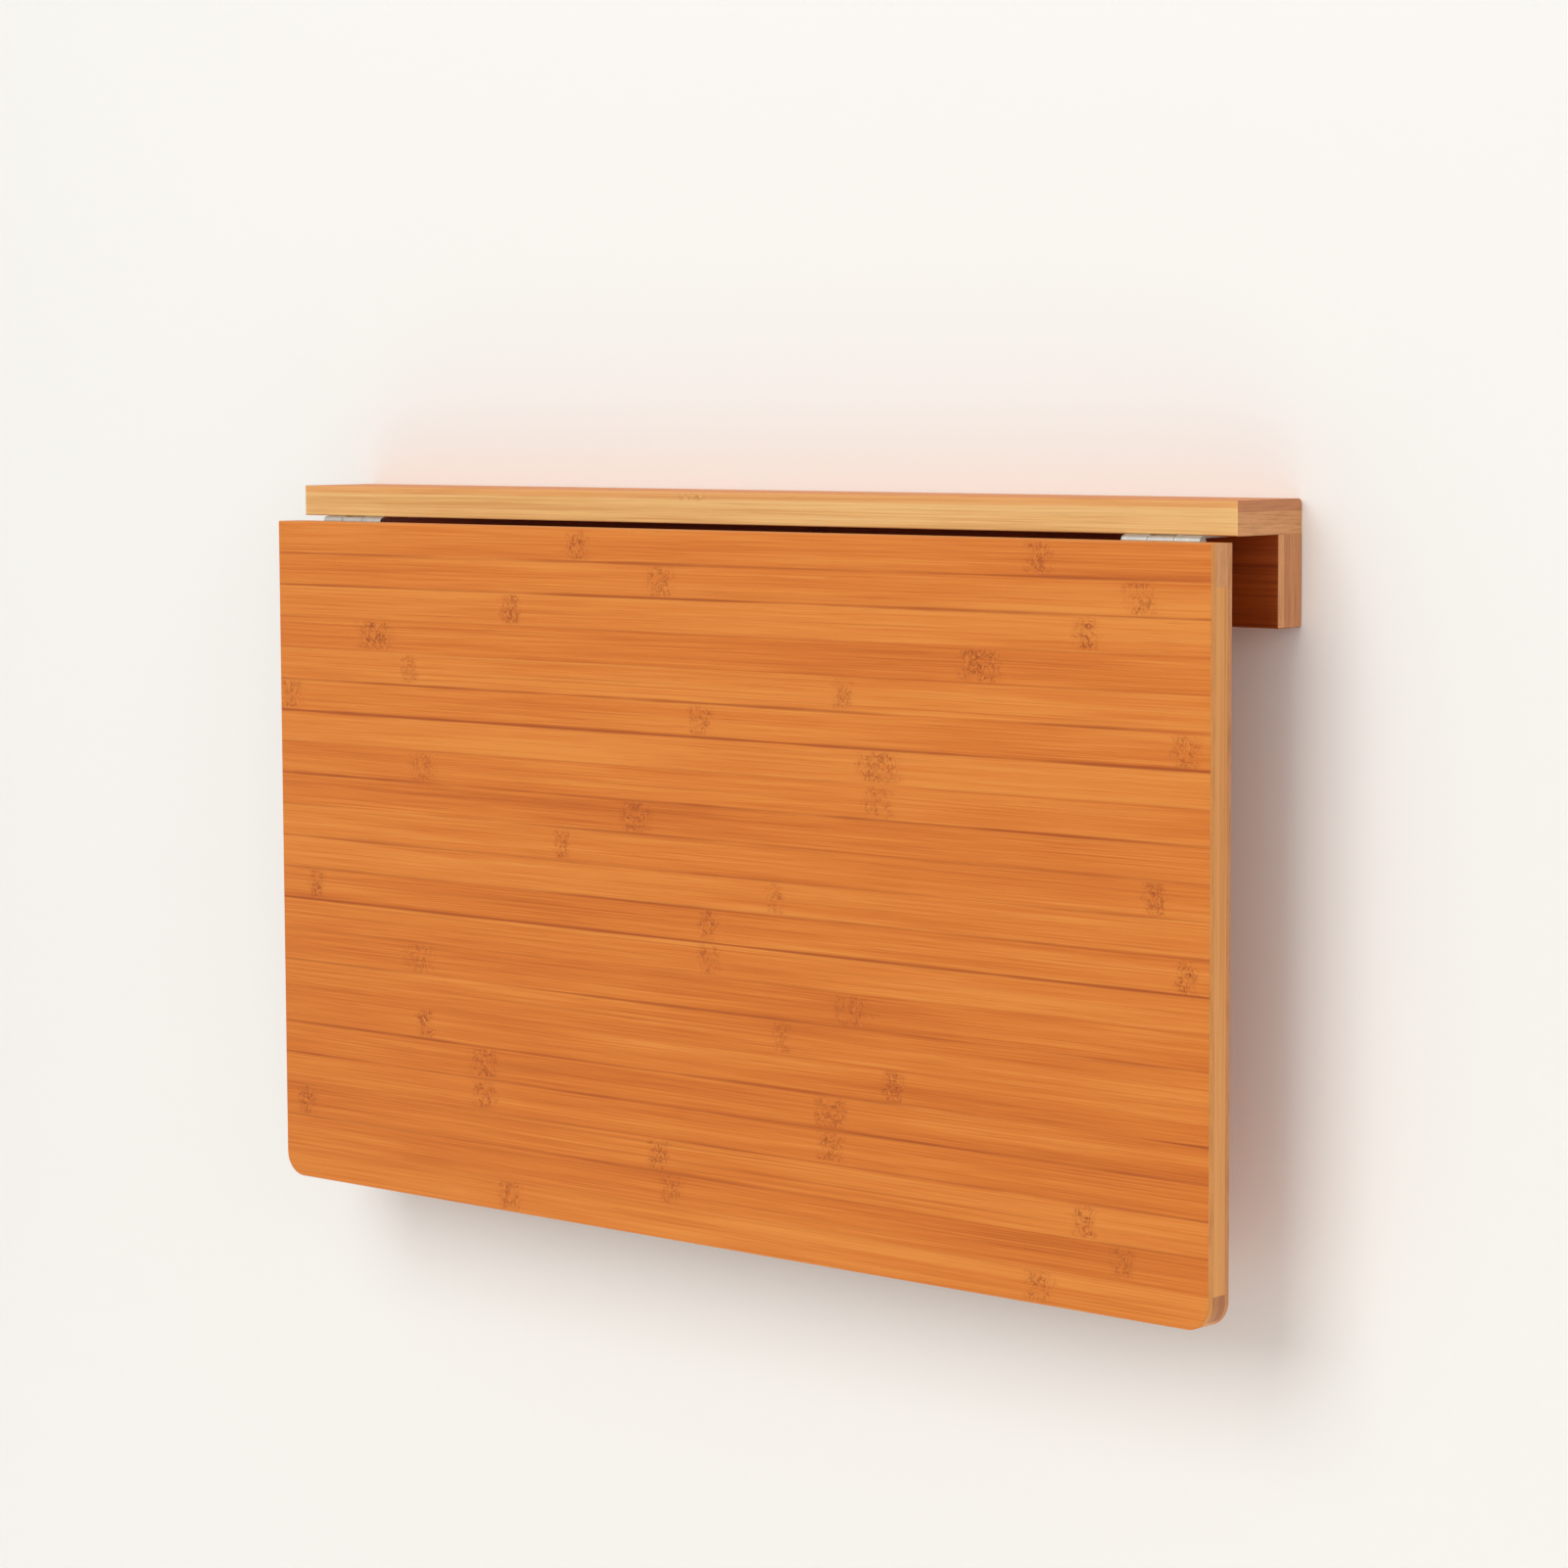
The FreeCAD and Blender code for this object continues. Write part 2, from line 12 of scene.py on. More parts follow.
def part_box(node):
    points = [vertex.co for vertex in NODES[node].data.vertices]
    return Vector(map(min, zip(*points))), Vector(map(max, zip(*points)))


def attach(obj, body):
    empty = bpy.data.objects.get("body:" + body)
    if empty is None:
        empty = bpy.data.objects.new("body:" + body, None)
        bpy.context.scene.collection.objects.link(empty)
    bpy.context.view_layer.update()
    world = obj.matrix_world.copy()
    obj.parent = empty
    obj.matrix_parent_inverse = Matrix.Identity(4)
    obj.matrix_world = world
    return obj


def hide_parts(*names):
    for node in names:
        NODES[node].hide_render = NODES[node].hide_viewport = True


bl_info = {
    "name": "Bamboo wall table",
    "version": (1, 0, 0),
    "blender": (4, 5, 0),
    "location": "View3D > Sidebar > Wall Table",
    "description": "Finishes a folding bamboo wall table and sets its stage",
    "category": "Object",
}

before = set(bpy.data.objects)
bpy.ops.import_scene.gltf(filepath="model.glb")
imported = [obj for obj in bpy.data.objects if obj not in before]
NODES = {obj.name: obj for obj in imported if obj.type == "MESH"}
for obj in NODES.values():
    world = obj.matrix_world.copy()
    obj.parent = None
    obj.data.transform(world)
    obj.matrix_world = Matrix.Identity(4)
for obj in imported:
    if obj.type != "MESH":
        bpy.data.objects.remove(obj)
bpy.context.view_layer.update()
SIDES = ("left", "right")
AXES = "XYZ"
MM = 0.001
# Mesh detail: sides of turned pieces, steps of round ends and eased edges, the angles past which edges are
# sharp or eased, and tolerances in metres
ROUND_SIDES = 48
SCREW_SIDES = 32
ARM_END_STEPS = 20
EASE_STEPS = 3
SHARP_ANGLE = math.radians(35)
EASE_ANGLE = math.radians(50)
NEAR = 1e-6
MERGE = 1e-7

# Node marks on the leaf's face: their distances in mm from its left end, strip by strip from the free edge
NODE_PLACES = (
    (195, 590), (325, 645), (20, 315, 620), (175, 445), (175, 445), (125, 490), (410,),
    (120, 460), (355,), (30, 355, 685), (405,), (240, 665), (300,), (125, 480),
    (480,), (10, 350, 685), (115, 455), (85, 550), (200, 620), (320, 655), (255, 590))
PLACES_A_STRIP = 3
# Glue lines on the leaf's face that are dark over most of their length, counted from the free edge
STRONG_SEAMS = (9, 15)
STRONG_GAIN = 0.12
# Tints of the end grain of the leaf's boards
FACE_END = (1.05, 0.95, 0.62)
BACK_END = (0.84, 0.78, 0.76)
FREE_END = (0.74, 0.66, 0.6)
NO_TINT = (1.0, 1.0, 1.0)

# A face is on its board's edge or end where its normal leans more than this along the axis there
FACING = 0.7
# Noise scales per metre: along the grain and over the strips, or over the layers and along them on an end
BROAD = (2.0, 160.0)
FIBRE = (11.0, 1050.0)
PATCHES = (3.0, 12.0)
DRIFT = (1.7, 48.0)
MARK_RIM = (110.0, 190.0)
MARK_LINES = (350.0, 260.0)
MARK_CLUMPS = (150.0, 210.0)
END_LINES = (900.0, 45.0)
END_DOTS = 1300.0
# Glue lines: noise scale per metre along them, and how much finer the noise of their width is
SEAM_RUN = 4.5
SEAM_WAVER = 2.3
# Thin flecks in the grain: noise scales, the noise's band that shows, cover, and share of the dark tone
THREADS = SimpleNamespace(noise=(1.5, 430.0), band=(0.55, 0.74), cover=0.45, shade=0.85)
DASHES = SimpleNamespace(noise=(26.0, 760.0), band=(0.58, 0.74), cover=0.3, shade=0.8)
# Shares of strip, patches, drift, broad streaks and fibres in a spot's tone, and where the dark, middle and
# light tone lie on that scale
TONE_SHARES = (0.10, 0.24, 0.24, 0.36, 0.48)
TONE_STOPS = (0.55, 0.69, 0.83)
# In metres: least and greatest width of glue lines and of a mark's half, the mark's ragged rim and its inset
SEAM_WIDTHS = (-0.0004, 0.003)
MARK_HALVES = (0.0085, 0.0195)
MARK_RAGGED = 0.017
MARK_INSET = 0.003
# How much glue lines cover on broad faces and on edges, a mark's patch, lines and pale flecks, and the lines,
# dots and seams of an end
SEAM_COVER = (0.85, 0.3)
MARK_COVER = (0.22, 0.85, 0.4)
END_COVER = (0.5, 0.22, 0.45)
SEAM_SHADE = 0.62
MARK_SHADE = 0.55
SCORCH = (1.0, 0.72, 0.6)
# Scattered marks are shifted by up to this many steps from strip to strip, and keep to the middle of a step
MARK_SHIFT = 7.3
MARK_MIDDLE = (0.2, 0.8)
# A broad face's tint fades out on an edge between these shares of its top layer
TINT_FADE = (0.9, 0.5)
TINT_ON_EDGE = 0.5
# Third coordinate of the random draws, which keeps one kind apart from another
DRAWS = SimpleNamespace(tone=0.5, shift=1.5, mark=3.5, seam=7.5, layer=9.5)

# Zinc and rubber: noise scales per metre
ZINC_CLOUDS = 260.0
ZINC_FLAKES = 900.0
ZINC_RUBBING = (300.0, 4000.0, 4000.0)
RUBBER_GRAIN = 2600.0
RUBBER_DUST = 90.0
DUST = (0.06, 0.058, 0.055)

# Half section of a rest pad, which is a ring: shares of its thickness and of its radius
PAD_PROFILE = ((0.0, 0.12), (0.0, 1.0), (0.55, 1.0), (0.8, 0.95), (0.95, 0.85), (1.0, 0.7), (1.0, 0.35),
               (0.9, 0.28), (0.9, 0.12))
# Sleeves: rings of points along one rib, and how far a groove reaches from its middle, in ribs
RINGS_A_RIB = 8.0
GROOVE_REACH = 0.26
# Screws: their body, the way that they are driven, and the shank's radius as a share of the head's
HINGE_SHANK = 1.5 / 2.6
BRACKET_SHANK = 1.75 / 3.4
SCREWS = {
    "fixed_plate_screws": ("wall_unit", "up", HINGE_SHANK),
    "moving_plate_screws": ("leaf", "forward", HINGE_SHANK),
    "pivot_bracket_screws": ("leaf", "forward", BRACKET_SHANK),
}
DRIVE_TURNS = {"up": Vector((0.0, 0.0, 0.0)), "forward": Vector((math.pi / 2, 0.0, 0.0))}
# A screw's tip in shank radii, its point's share of the shank, and its recess's share of the head's radius
TIP_LENGTH = 2.0
POINT_SHARE = 0.2
RECESS_SHARE = 1.15

# Stage, in metres: the wall's distance behind the rail, how near counts as touching it, the floor,
# how far the room reaches, where it starts to fade, and the rounding between wall and floor
WALL_GAP = 0.0005
TOUCHING = 4 * WALL_GAP
FLOOR_Z = -0.85
ROOM_REACH = 2.6
FADE_START = 1.3
ROOM_ROUND = 0.4
ROOM_STEPS = 12
LAMPS = {
    "key": SimpleNamespace(size=2.4, place=(-0.3, -2.9, 1.5), aim=(0.0, -0.05, -0.15)),
    "fill": SimpleNamespace(size=1.6, place=(2.4, -1.6, 0.5), aim=(0.2, -0.05, -0.1)),
}
FILM_WIDTH = 36.0

ColorProperty = partial(bpy.props.FloatVectorProperty, subtype="COLOR")
LengthProperty = partial(bpy.props.FloatProperty, unit="LENGTH")
AngleProperty = partial(bpy.props.FloatProperty, subtype="ANGLE")


class BambooLooks(bpy.types.PropertyGroup):
    """Colours and sizes of the bamboo"""
    strip_width: LengthProperty(
        name="Strip width", description="Width of one bamboo strip on a board's face", default=0.019)
    edge_layer: LengthProperty(
        name="Edge layer", description="Thickness of one bamboo layer on a board's edge", default=0.0055)
    mark_step: LengthProperty(
        name="Mark step", description="Mean distance between two node marks along a strip", default=0.23)
    face_dark: ColorProperty(
        name="Leaf dark", description="Darkest strip of the leaf", default=(0.54, 0.125, 0.013))
    face_middle: ColorProperty(
        name="Leaf middle", description="Usual strip of the leaf", default=(0.68, 0.187, 0.024))
    face_light: ColorProperty(
        name="Leaf light", description="Palest strip of the leaf", default=(0.77, 0.265, 0.045))
    # The rail's tones are far darker than the amber bamboo of the other boards: painted shade of the deep
    # shadow between the rail, the shelf and the hanging leaf.
    rail_dark: ColorProperty(
        name="Rail dark", description="Darkest strip of the rail", default=(0.19, 0.031, 0.0035))
    rail_middle: ColorProperty(
        name="Rail middle", description="Usual strip of the rail", default=(0.26, 0.046, 0.0055))
    rail_light: ColorProperty(
        name="Rail light", description="Palest strip of the rail", default=(0.35, 0.069, 0.0095))
    edge_dark: ColorProperty(
        name="Shelf dark", description="Darkest layer of the shelf", default=(0.71, 0.365, 0.11))
    edge_middle: ColorProperty(
        name="Shelf middle", description="Usual layer of the shelf", default=(0.86, 0.53, 0.2))
    edge_light: ColorProperty(
        name="Shelf light", description="Palest layer of the shelf", default=(0.92, 0.63, 0.28))
    side_dark: ColorProperty(
        name="Leaf side dark", description="Darkest layer of the leaf's ends", default=(0.60, 0.22, 0.052))
    side_middle: ColorProperty(
        name="Leaf side middle", description="Usual layer of the leaf's ends", default=(0.74, 0.31, 0.087))
    side_light: ColorProperty(
        name="Leaf side light", description="Palest layer of the leaf's ends", default=(0.81, 0.38, 0.122))
    end_pale: ColorProperty(
        name="End grain pale", description="Pale layers of the end grain", default=(0.76, 0.37, 0.152))
    end_ground: ColorProperty(
        name="End grain", description="Usual layers of the end grain", default=(0.57, 0.225, 0.098))
    end_fibre: ColorProperty(
        name="End fibre", description="Fibre bundles in the end grain", default=(0.36, 0.13, 0.045))
    shelf_face: ColorProperty(
        name="Shelf face tint", description="Tint of the shelf's broad faces", default=(0.86, 0.48, 0.26))


class HardwareLooks(bpy.types.PropertyGroup):
    """Sizes and colours of the hardware and the prop frame"""
    arm_ease: LengthProperty(
        name="Arm edge", description="Rounding of the prop arms' and blocks' edges", default=0.0013)
    pin_bore: LengthProperty(
        name="Pivot bore", description="Radius of the bore in a prop arm's pivot end", default=0.00305)
    recess_width: LengthProperty(
        name="Recess width", description="Width of a screw's cross recess", default=0.00055)
    recess_depth: LengthProperty(
        name="Recess depth", description="Depth of a screw's cross recess", default=0.0008)
    rib_count: bpy.props.IntProperty(
        name="Sleeve ribs", description="Ribs along one rubber sleeve", default=9)
    rib_depth: LengthProperty(
        name="Rib depth", description="Depth of the grooves between the ribs", default=0.0007)
    zinc: ColorProperty(
        name="Zinc", description="Plated steel", default=(0.5, 0.475, 0.43))
    rubber: ColorProperty(
        name="Rubber", description="Sleeves and pads", default=(0.022, 0.022, 0.023))


class StageLooks(bpy.types.PropertyGroup):
    """Wall, light and camera"""
    wall: ColorProperty(
        name="Wall", description="Colour of the wall and floor", default=(0.96, 0.945, 0.91))
    ambient: bpy.props.FloatProperty(
        name="Ambient", description="Strength of the light from all sides", default=0.49)
    key_power: bpy.props.FloatProperty(
        name="Key light", description="Power of the large soft lamp", default=50.5, unit="POWER")
    fill_power: bpy.props.FloatProperty(
        name="Fill light", description="Power of the soft lamp on the right", default=8.0, unit="POWER")
    azimuth: AngleProperty(
        name="Azimuth", description="Camera's turn to the right of the table's front",
        default=math.radians(42.08))
    elevation: AngleProperty(
        name="Elevation", description="Camera's height angle", default=math.radians(5.14))
    roll: AngleProperty(
        name="Roll", description="Camera's roll", default=math.radians(-0.25))
    distance: LengthProperty(
        name="Distance", description="From the camera to its target", default=2.389)
    lens: bpy.props.FloatProperty(
        name="Lens", description="Focal length on a 36 mm frame", default=99.59, unit="CAMERA")
    target: bpy.props.FloatVectorProperty(
        name="Target", description="Point in the middle of the picture",
        subtype="TRANSLATION", default=(0.0468, -0.06, -0.1177))


def put(socket, value):
    """Links an output to a socket, or sets the socket's own value."""
    if isinstance(value, bpy.types.NodeSocket):
        socket.id_data.links.new(value, socket)
    else:
        socket.default_value = value


class Board:
    """Short forms for laying out one node tree."""

    def __init__(self, tree):
        self.tree = tree

    def node(self, kind, inputs=None, **settings):
        made = self.tree.nodes.new(kind)
        for key, value in settings.items():
            setattr(made, key, value)
        for key, value in (inputs or {}).items():
            put(made.inputs[key], value)
        return made

    def math(self, operation, *values):
        made = self.node("ShaderNodeMath", operation=operation)
        for socket, value in zip(made.inputs, values):
            put(socket, value)
        return made.outputs[0]

    def times(self, first, *others):
        """Product of all the values."""
        for other in others:
            first = self.math("MULTIPLY", first, other)
        return first

    def minus(self, first, second):
        return self.math("SUBTRACT", first, second)

    def plus_share(self, base, share, value):
        """A value's share added to a base."""
        return self.math("MULTIPLY_ADD", value, share, base)

    def between(self, value, low, high):
        """Low for a value of zero, high for a value of one."""
        return self.plus_share(low, high - low, value)

    def apart(self, first, second):
        """Distance between two values."""
        return self.math("ABSOLUTE", self.minus(first, second))

    def smooth(self, value, low, high):
        """Soft step from zero at low to one at high."""
        made = self.node("ShaderNodeMapRange", {"Value": value, "From Min": low, "From Max": high},
                         interpolation_type="SMOOTHSTEP")
        return made.outputs["Result"]

    def falling(self, value, low, high):
        """Soft step from one at low to zero at high."""
        return self.minus(1.0, self.smooth(value, low, high))

    def vector(self, x, y, z):
        return self.node("ShaderNodeCombineXYZ", {"X": x, "Y": y, "Z": z}).outputs[0]

    def parts(self, vector):
        return self.node("ShaderNodeSeparateXYZ", {"Vector": vector}).outputs

    def noise(self, vector, scale, detail=4.0, roughness=0.55, distortion=0.0):
        made = self.node("ShaderNodeTexNoise", {
            "Vector": vector, "Scale": scale, "Detail": detail, "Roughness": roughness,
            "Distortion": distortion})
        return made.outputs[0]

    def stretched(self, first, second, third, scales, **settings):
        """Noise over two lengths, each at a scale of its own, that differs with the third value."""
        way = self.vector(self.times(first, scales[0]), self.times(second, scales[1]), third)
        return self.noise(way, 1.0, **settings)

    def chance(self, *cell):
        """Three random values for a cell."""
        made = self.node("ShaderNodeTexWhiteNoise", {"Vector": self.vector(*cell)}, noise_dimensions="3D")
        return self.parts(made.outputs["Color"])

    def blend(self, factor, first, second, kind="MIX"):
        made = self.node("ShaderNodeMix", {0: factor}, data_type="RGBA", blend_type=kind)
        put(made.inputs[6], first)
        put(made.inputs[7], second)
        return made.outputs[2]

    def choose(self, factor, first, second):
        made = self.node("ShaderNodeMix", {0: factor, 2: first, 3: second}, data_type="FLOAT")
        return made.outputs[0]

    def ramp(self, factor, stops, steps="LINEAR"):
        made = self.node("ShaderNodeValToRGB", {"Fac": factor})
        made.color_ramp.interpolation = steps
        marks = made.color_ramp.elements
        while len(marks) < len(stops):
            marks.new(0.5)
        for mark, (place, color) in zip(marks, stops):
            mark.position = place
            mark.color = color
        return made.outputs["Color"]


def opaque(color):
    return (*color, 1.0)


def shade(color, share, tint=NO_TINT):
    """The colour with its brightness times a share, and tinted."""
    return opaque(hue * share * part for hue, part in zip(tint, color))


def new_material(name):
    material = bpy.data.materials.new(name)
    material.use_nodes = True
    tree = material.node_tree
    shader = tree.nodes["Principled BSDF"]
    return material, Board(tree), shader


def finish(board, shader, color, roughness, height, relief, depth):
    """Joins a colour, a roughness and a fine relief to a material's shader."""
    bump = board.node("ShaderNodeBump", {"Strength": relief, "Distance": depth, "Height": height})
    put(shader.inputs["Base Color"], color)
    put(shader.inputs["Roughness"], roughness)
    put(shader.inputs["Normal"], bump.outputs[0])


def strip_layout(board, node, grain, seed):
    """Where a point lies on a board: along the grain, over the strips, and on which kind of face."""
    looks = bpy.context.scene.bamboo_looks
    low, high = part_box(node)
    size = high - low
    coords = board.node("ShaderNodeTexCoord").outputs
    place = [board.minus(part, start) for part, start in zip(board.parts(coords["Object"]), low)]
    facing = [board.math("ABSOLUTE", part) for part in board.parts(coords["Normal"])]
    run_axis, across_axis = (AXES.index(axis) for axis in grain)
    depth_axis = 3 - run_axis - across_axis
    strips = max(1, round(size[across_axis] / looks.strip_width))
    layers = max(1, round(size[depth_axis] / looks.edge_layer))

    spot = SimpleNamespace(
        seed=seed, run=place[run_axis], across=place[across_axis], depth=place[depth_axis],
        length=size[run_axis], thick=size[depth_axis], layer_step=size[depth_axis] / layers)
    spot.edge_side = board.math("GREATER_THAN", facing[across_axis], FACING)
    spot.end_side = board.math("GREATER_THAN", facing[run_axis], FACING)
    spot.rise = board.choose(spot.edge_side, spot.across, spot.depth)
    spot.count = board.choose(spot.edge_side, strips, layers)
    spot.step = board.choose(spot.edge_side, size[across_axis] / strips, spot.layer_step)
    spot.level = board.math("DIVIDE", spot.rise, spot.step)
    spot.row = board.math("FLOOR", spot.level)
    inside = board.math("FRACT", spot.level)
    spot.edge = board.times(board.math("MINIMUM", inside, board.minus(1.0, inside)), spot.step)
    return spot


def streaks(board, spot, scales, detail):
    """Noise drawn out along the grain, different in each strip."""
    return board.stretched(spot.run, spot.rise, board.math("ADD", spot.row, spot.seed), scales,
                           detail=detail, roughness=0.6)


def glue_seams(board, spot, strong):
    """Dark lines between the strips, strong in places and faint in others."""
    nearest = board.math("ROUND", spot.level)
    strength = board.chance(nearest, spot.seed, DRAWS.seam)[0]
    way = board.vector(board.times(spot.run, SEAM_RUN), nearest, spot.seed)
    fade = board.noise(way, 1.0, detail=3.0)
    for number in strong:
        chosen = board.math("COMPARE", nearest, float(number), 0.5)
        strength = board.math("MAXIMUM", strength, chosen)
        fade = board.plus_share(fade, STRONG_GAIN, chosen)
    width = board.between(board.noise(way, SEAM_WAVER, detail=2.0), *SEAM_WIDTHS)
    after_first = board.math("GREATER_THAN", nearest, 0.5)
    before_last = board.math("LESS_THAN", nearest, board.minus(spot.count, 0.5))
    return board.times(
        board.falling(spot.edge, 0.0, width), board.smooth(strength, -0.2, 0.9),
        board.smooth(fade, 0.34, 0.62), after_first, before_last, board.choose(spot.edge_side, *SEAM_COVER))


def scattered_marks(board, spot, share):
    """Distance to a strip's nearest node mark, with the mark's width and strength: placed by chance."""
    step = bpy.context.scene.bamboo_looks.mark_step
    shift = board.chance(spot.row, spot.seed, DRAWS.shift)[0]
    reach = board.plus_share(board.math("DIVIDE", spot.run, step), MARK_SHIFT, shift)
    chance = board.chance(spot.row, board.math("FLOOR", reach), spot.seed + DRAWS.mark)
    middle = board.between(chance[1], *MARK_MIDDLE)
    offset = board.times(board.minus(board.math("FRACT", reach), middle), step)
    return board.math("ABSOLUTE", offset), chance[2], board.math("LESS_THAN", chance[0], share)


def placed_marks(board, spot, places):
    """Distance to a strip's nearest node mark, with the mark's width and strength: placed by a list."""
    stops = []
    for row, distances in enumerate(places):
        shares = [MM * distance / spot.length for distance in distances]
        shares += shares[:1] * (PLACES_A_STRIP - len(shares))
        stops.append((row / len(places), opaque(shares)))
    row_middle = board.math("DIVIDE", board.math("ADD", spot.row, 0.5), float(len(places)))
    offset = spot.length
    for share in board.parts(board.ramp(row_middle, stops, "CONSTANT")):
        offset = board.math("MINIMUM", offset, board.apart(spot.run, board.times(share, spot.length)))
    chance = board.chance(spot.row, spot.seed, DRAWS.mark)
    return offset, chance[2], board.between(chance[0], 0.55, 1.0)


def node_marks(board, spot, offset, width, strength):
    """Mottled patches as tall as a strip: the whole patch, the fine dark lines in it, and its pale flecks."""
    rim = board.stretched(spot.run, spot.rise, spot.row, MARK_RIM)
    half = board.between(board.math("POWER", width, 2.5), *MARK_HALVES)
    away = board.minus(board.plus_share(offset, MARK_RAGGED, rim), MARK_RAGGED / 2)
    patch = board.times(board.falling(away, board.times(half, 0.25), half), strength,
                        board.smooth(spot.edge, 0.0, MARK_INSET))
    mottle = board.stretched(spot.run, spot.rise, spot.row, MARK_LINES,
                             detail=2.0, roughness=0.6, distortion=0.6)
    clump = board.stretched(spot.run, spot.rise, spot.row, MARK_CLUMPS, detail=2.0)
    lines = board.times(board.falling(board.apart(mottle, 0.5), 0.012, 0.07), board.smooth(clump, 0.34, 0.56))
    return patch, board.times(patch, lines), board.times(patch, board.smooth(mottle, 0.56, 0.7))


def end_grain(board, spot):
    """Cut ends of the layers: fine lines over the thickness, with the dots of fibre bundles."""
    looks = bpy.context.scene.bamboo_looks
    level = board.math("DIVIDE", spot.depth, spot.layer_step)
    chance = board.chance(board.math("FLOOR", level), spot.seed, DRAWS.layer)
    fine = board.stretched(spot.depth, spot.across, spot.seed, END_LINES, detail=3.0, roughness=0.6)
    bundles = board.node("ShaderNodeTexVoronoi", {
        "Vector": board.vector(spot.across, spot.depth, spot.seed), "Scale": END_DOTS})
    dots = board.falling(bundles.outputs["Distance"], 0.15, 0.45)
    seams = board.times(board.falling(board.apart(level, board.math("ROUND", level)), 0.0, 0.14),
                        board.smooth(chance[1], 0.2, 1.0))
    color = board.blend(chance[0], opaque(looks.end_pale), opaque(looks.end_ground))
    for pattern, cover in zip((board.smooth(fine, 0.42, 0.72), dots, seams), END_COVER):
        color = board.blend(board.times(pattern, cover), color, opaque(looks.end_fibre))
    return color


def bamboo(name, node, grain, kind, seed, marks=0.0, places=(), strong=(), face_tint=None, end_tint=NO_TINT):
    """Laminated bamboo for one board. grain names the axis along the grain and the axis over the strips.
    marks is the share of the scattered node marks that show, unless places says where the marks are."""
    looks = bpy.context.scene.bamboo_looks
    material, board, shader = new_material(name)
    spot = strip_layout(board, node, grain, seed)
    dark, middle, light = (opaque(getattr(looks, f"{kind}_{tone}")) for tone in ("dark", "middle", "light"))

    strip = board.chance(spot.row, seed, DRAWS.tone)[0]
    patches = streaks(board, spot, PATCHES, 2.0)
    drift = board.stretched(spot.run, spot.rise, seed, DRIFT, detail=3.0)
    broad = streaks(board, spot, BROAD, 4.0)
    fibre = streaks(board, spot, FIBRE, 5.0)
    tone = 0.0
    for layer, share in zip((strip, patches, drift, broad, fibre), TONE_SHARES):
        tone = board.plus_share(tone, share, layer)
    color = board.ramp(tone, list(zip(TONE_STOPS, (dark, middle, light))))
    for fleck in (THREADS, DASHES):
        shown = board.smooth(streaks(board, spot, fleck.noise, 3.0), *fleck.band)
        color = board.blend(board.times(shown, fleck.cover), color, shade(dark, fleck.shade))
    if face_tint:
        fade = [spot.thick - share * spot.layer_step for share in TINT_FADE]
        on_edge = board.times(board.smooth(spot.depth, *fade), TINT_ON_EDGE)
        color = board.blend(board.choose(spot.edge_side, 1.0, on_edge), color, opaque(face_tint), "MULTIPLY")

    seam = glue_seams(board, spot, strong)
    color = board.blend(seam, color, shade(dark, SEAM_SHADE, SCORCH))
    near = placed_marks(board, spot, places) if places else scattered_marks(board, spot, marks)
    patch, lines, pale = node_marks(board, spot, *near)
    stains = (dark, shade(dark, MARK_SHADE, SCORCH), light)
    for pattern, cover, stain in zip((patch, lines, pale), MARK_COVER, stains):
        color = board.blend(board.times(pattern, cover), color, stain)
    ends = board.blend(1.0, end_grain(board, spot), opaque(end_tint), "MULTIPLY")
    color = board.blend(spot.end_side, color, ends)

    height = board.plus_share(board.times(seam, -0.8), 0.5, fibre)
    height = board.plus_share(height, -0.5, lines)
    finish(board, shader, color, board.between(broad, 0.42, 0.58), height, relief=0.25, depth=0.2 * MM)
    put(shader.inputs["Specular IOR Level"], 0.25)
    return material


def plated_steel(name, scale, painted_light_gain=1.0):
    """Zinc plate: cloudy, faintly crystalline, with fine rubbing marks; the gain makes the whole colour
    lighter, as painted light.
    """
    zinc = shade(bpy.context.scene.hardware_looks.zinc, painted_light_gain)
    material, board, shader = new_material(name)
    coords = board.node("ShaderNodeTexCoord").outputs["Object"]
    cloud = board.noise(coords, ZINC_CLOUDS * scale, roughness=0.6)
    flakes = board.node("ShaderNodeTexVoronoi", {"Vector": coords, "Scale": ZINC_FLAKES * scale})
    way = [board.times(part, stretch) for part, stretch in zip(board.parts(coords), ZINC_RUBBING)]
    rubbed = board.noise(board.vector(*way), 1.0, detail=3.0)
    color = board.blend(board.smooth(cloud, 0.3, 0.7), shade(zinc, 0.82), zinc)
    flake = board.parts(flakes.outputs["Color"])[0]
    color = board.blend(board.times(flake, 0.14), color, shade(zinc, 1.15))
    roughness = board.plus_share(board.between(cloud, 0.24, 0.42), 0.12, rubbed)
    finish(board, shader, color, roughness, rubbed, relief=0.12, depth=0.1 * MM)
    put(shader.inputs["Metallic"], 1.0)
    return material


def black_rubber(name):
    """Matt rubber with a fine moulded grain and a little dust."""
    rubber = opaque(bpy.context.scene.hardware_looks.rubber)
    material, board, shader = new_material(name)
    coords = board.node("ShaderNodeTexCoord").outputs["Object"]
    grain = board.noise(coords, RUBBER_GRAIN, detail=3.0, roughness=0.6)
    dust = board.noise(coords, RUBBER_DUST, detail=5.0, roughness=0.65)
    color = board.blend(board.smooth(dust, 0.45, 0.8), rubber, opaque(DUST))
    finish(board, shader, color, board.between(dust, 0.58, 0.78), grain, relief=0.3, depth=0.1 * MM)
    return material


def dress(material, *names):
    """Gives CAD nodes a finish."""
    for name in names:
        slots = NODES[name].data.materials
        slots.clear()
        slots.append(material)


def new_object(name, mesh, material):
    made = bpy.data.objects.new(name, mesh)
    bpy.context.scene.collection.objects.link(made)
    mesh.materials.clear()
    mesh.materials.append(material)
    return made


def from_form(name, form, material):
    """Object made of a form, which is freed."""
    mesh = bpy.data.meshes.new(name)
    form.to_mesh(mesh)
    form.free()
    return new_object(name, mesh, material)


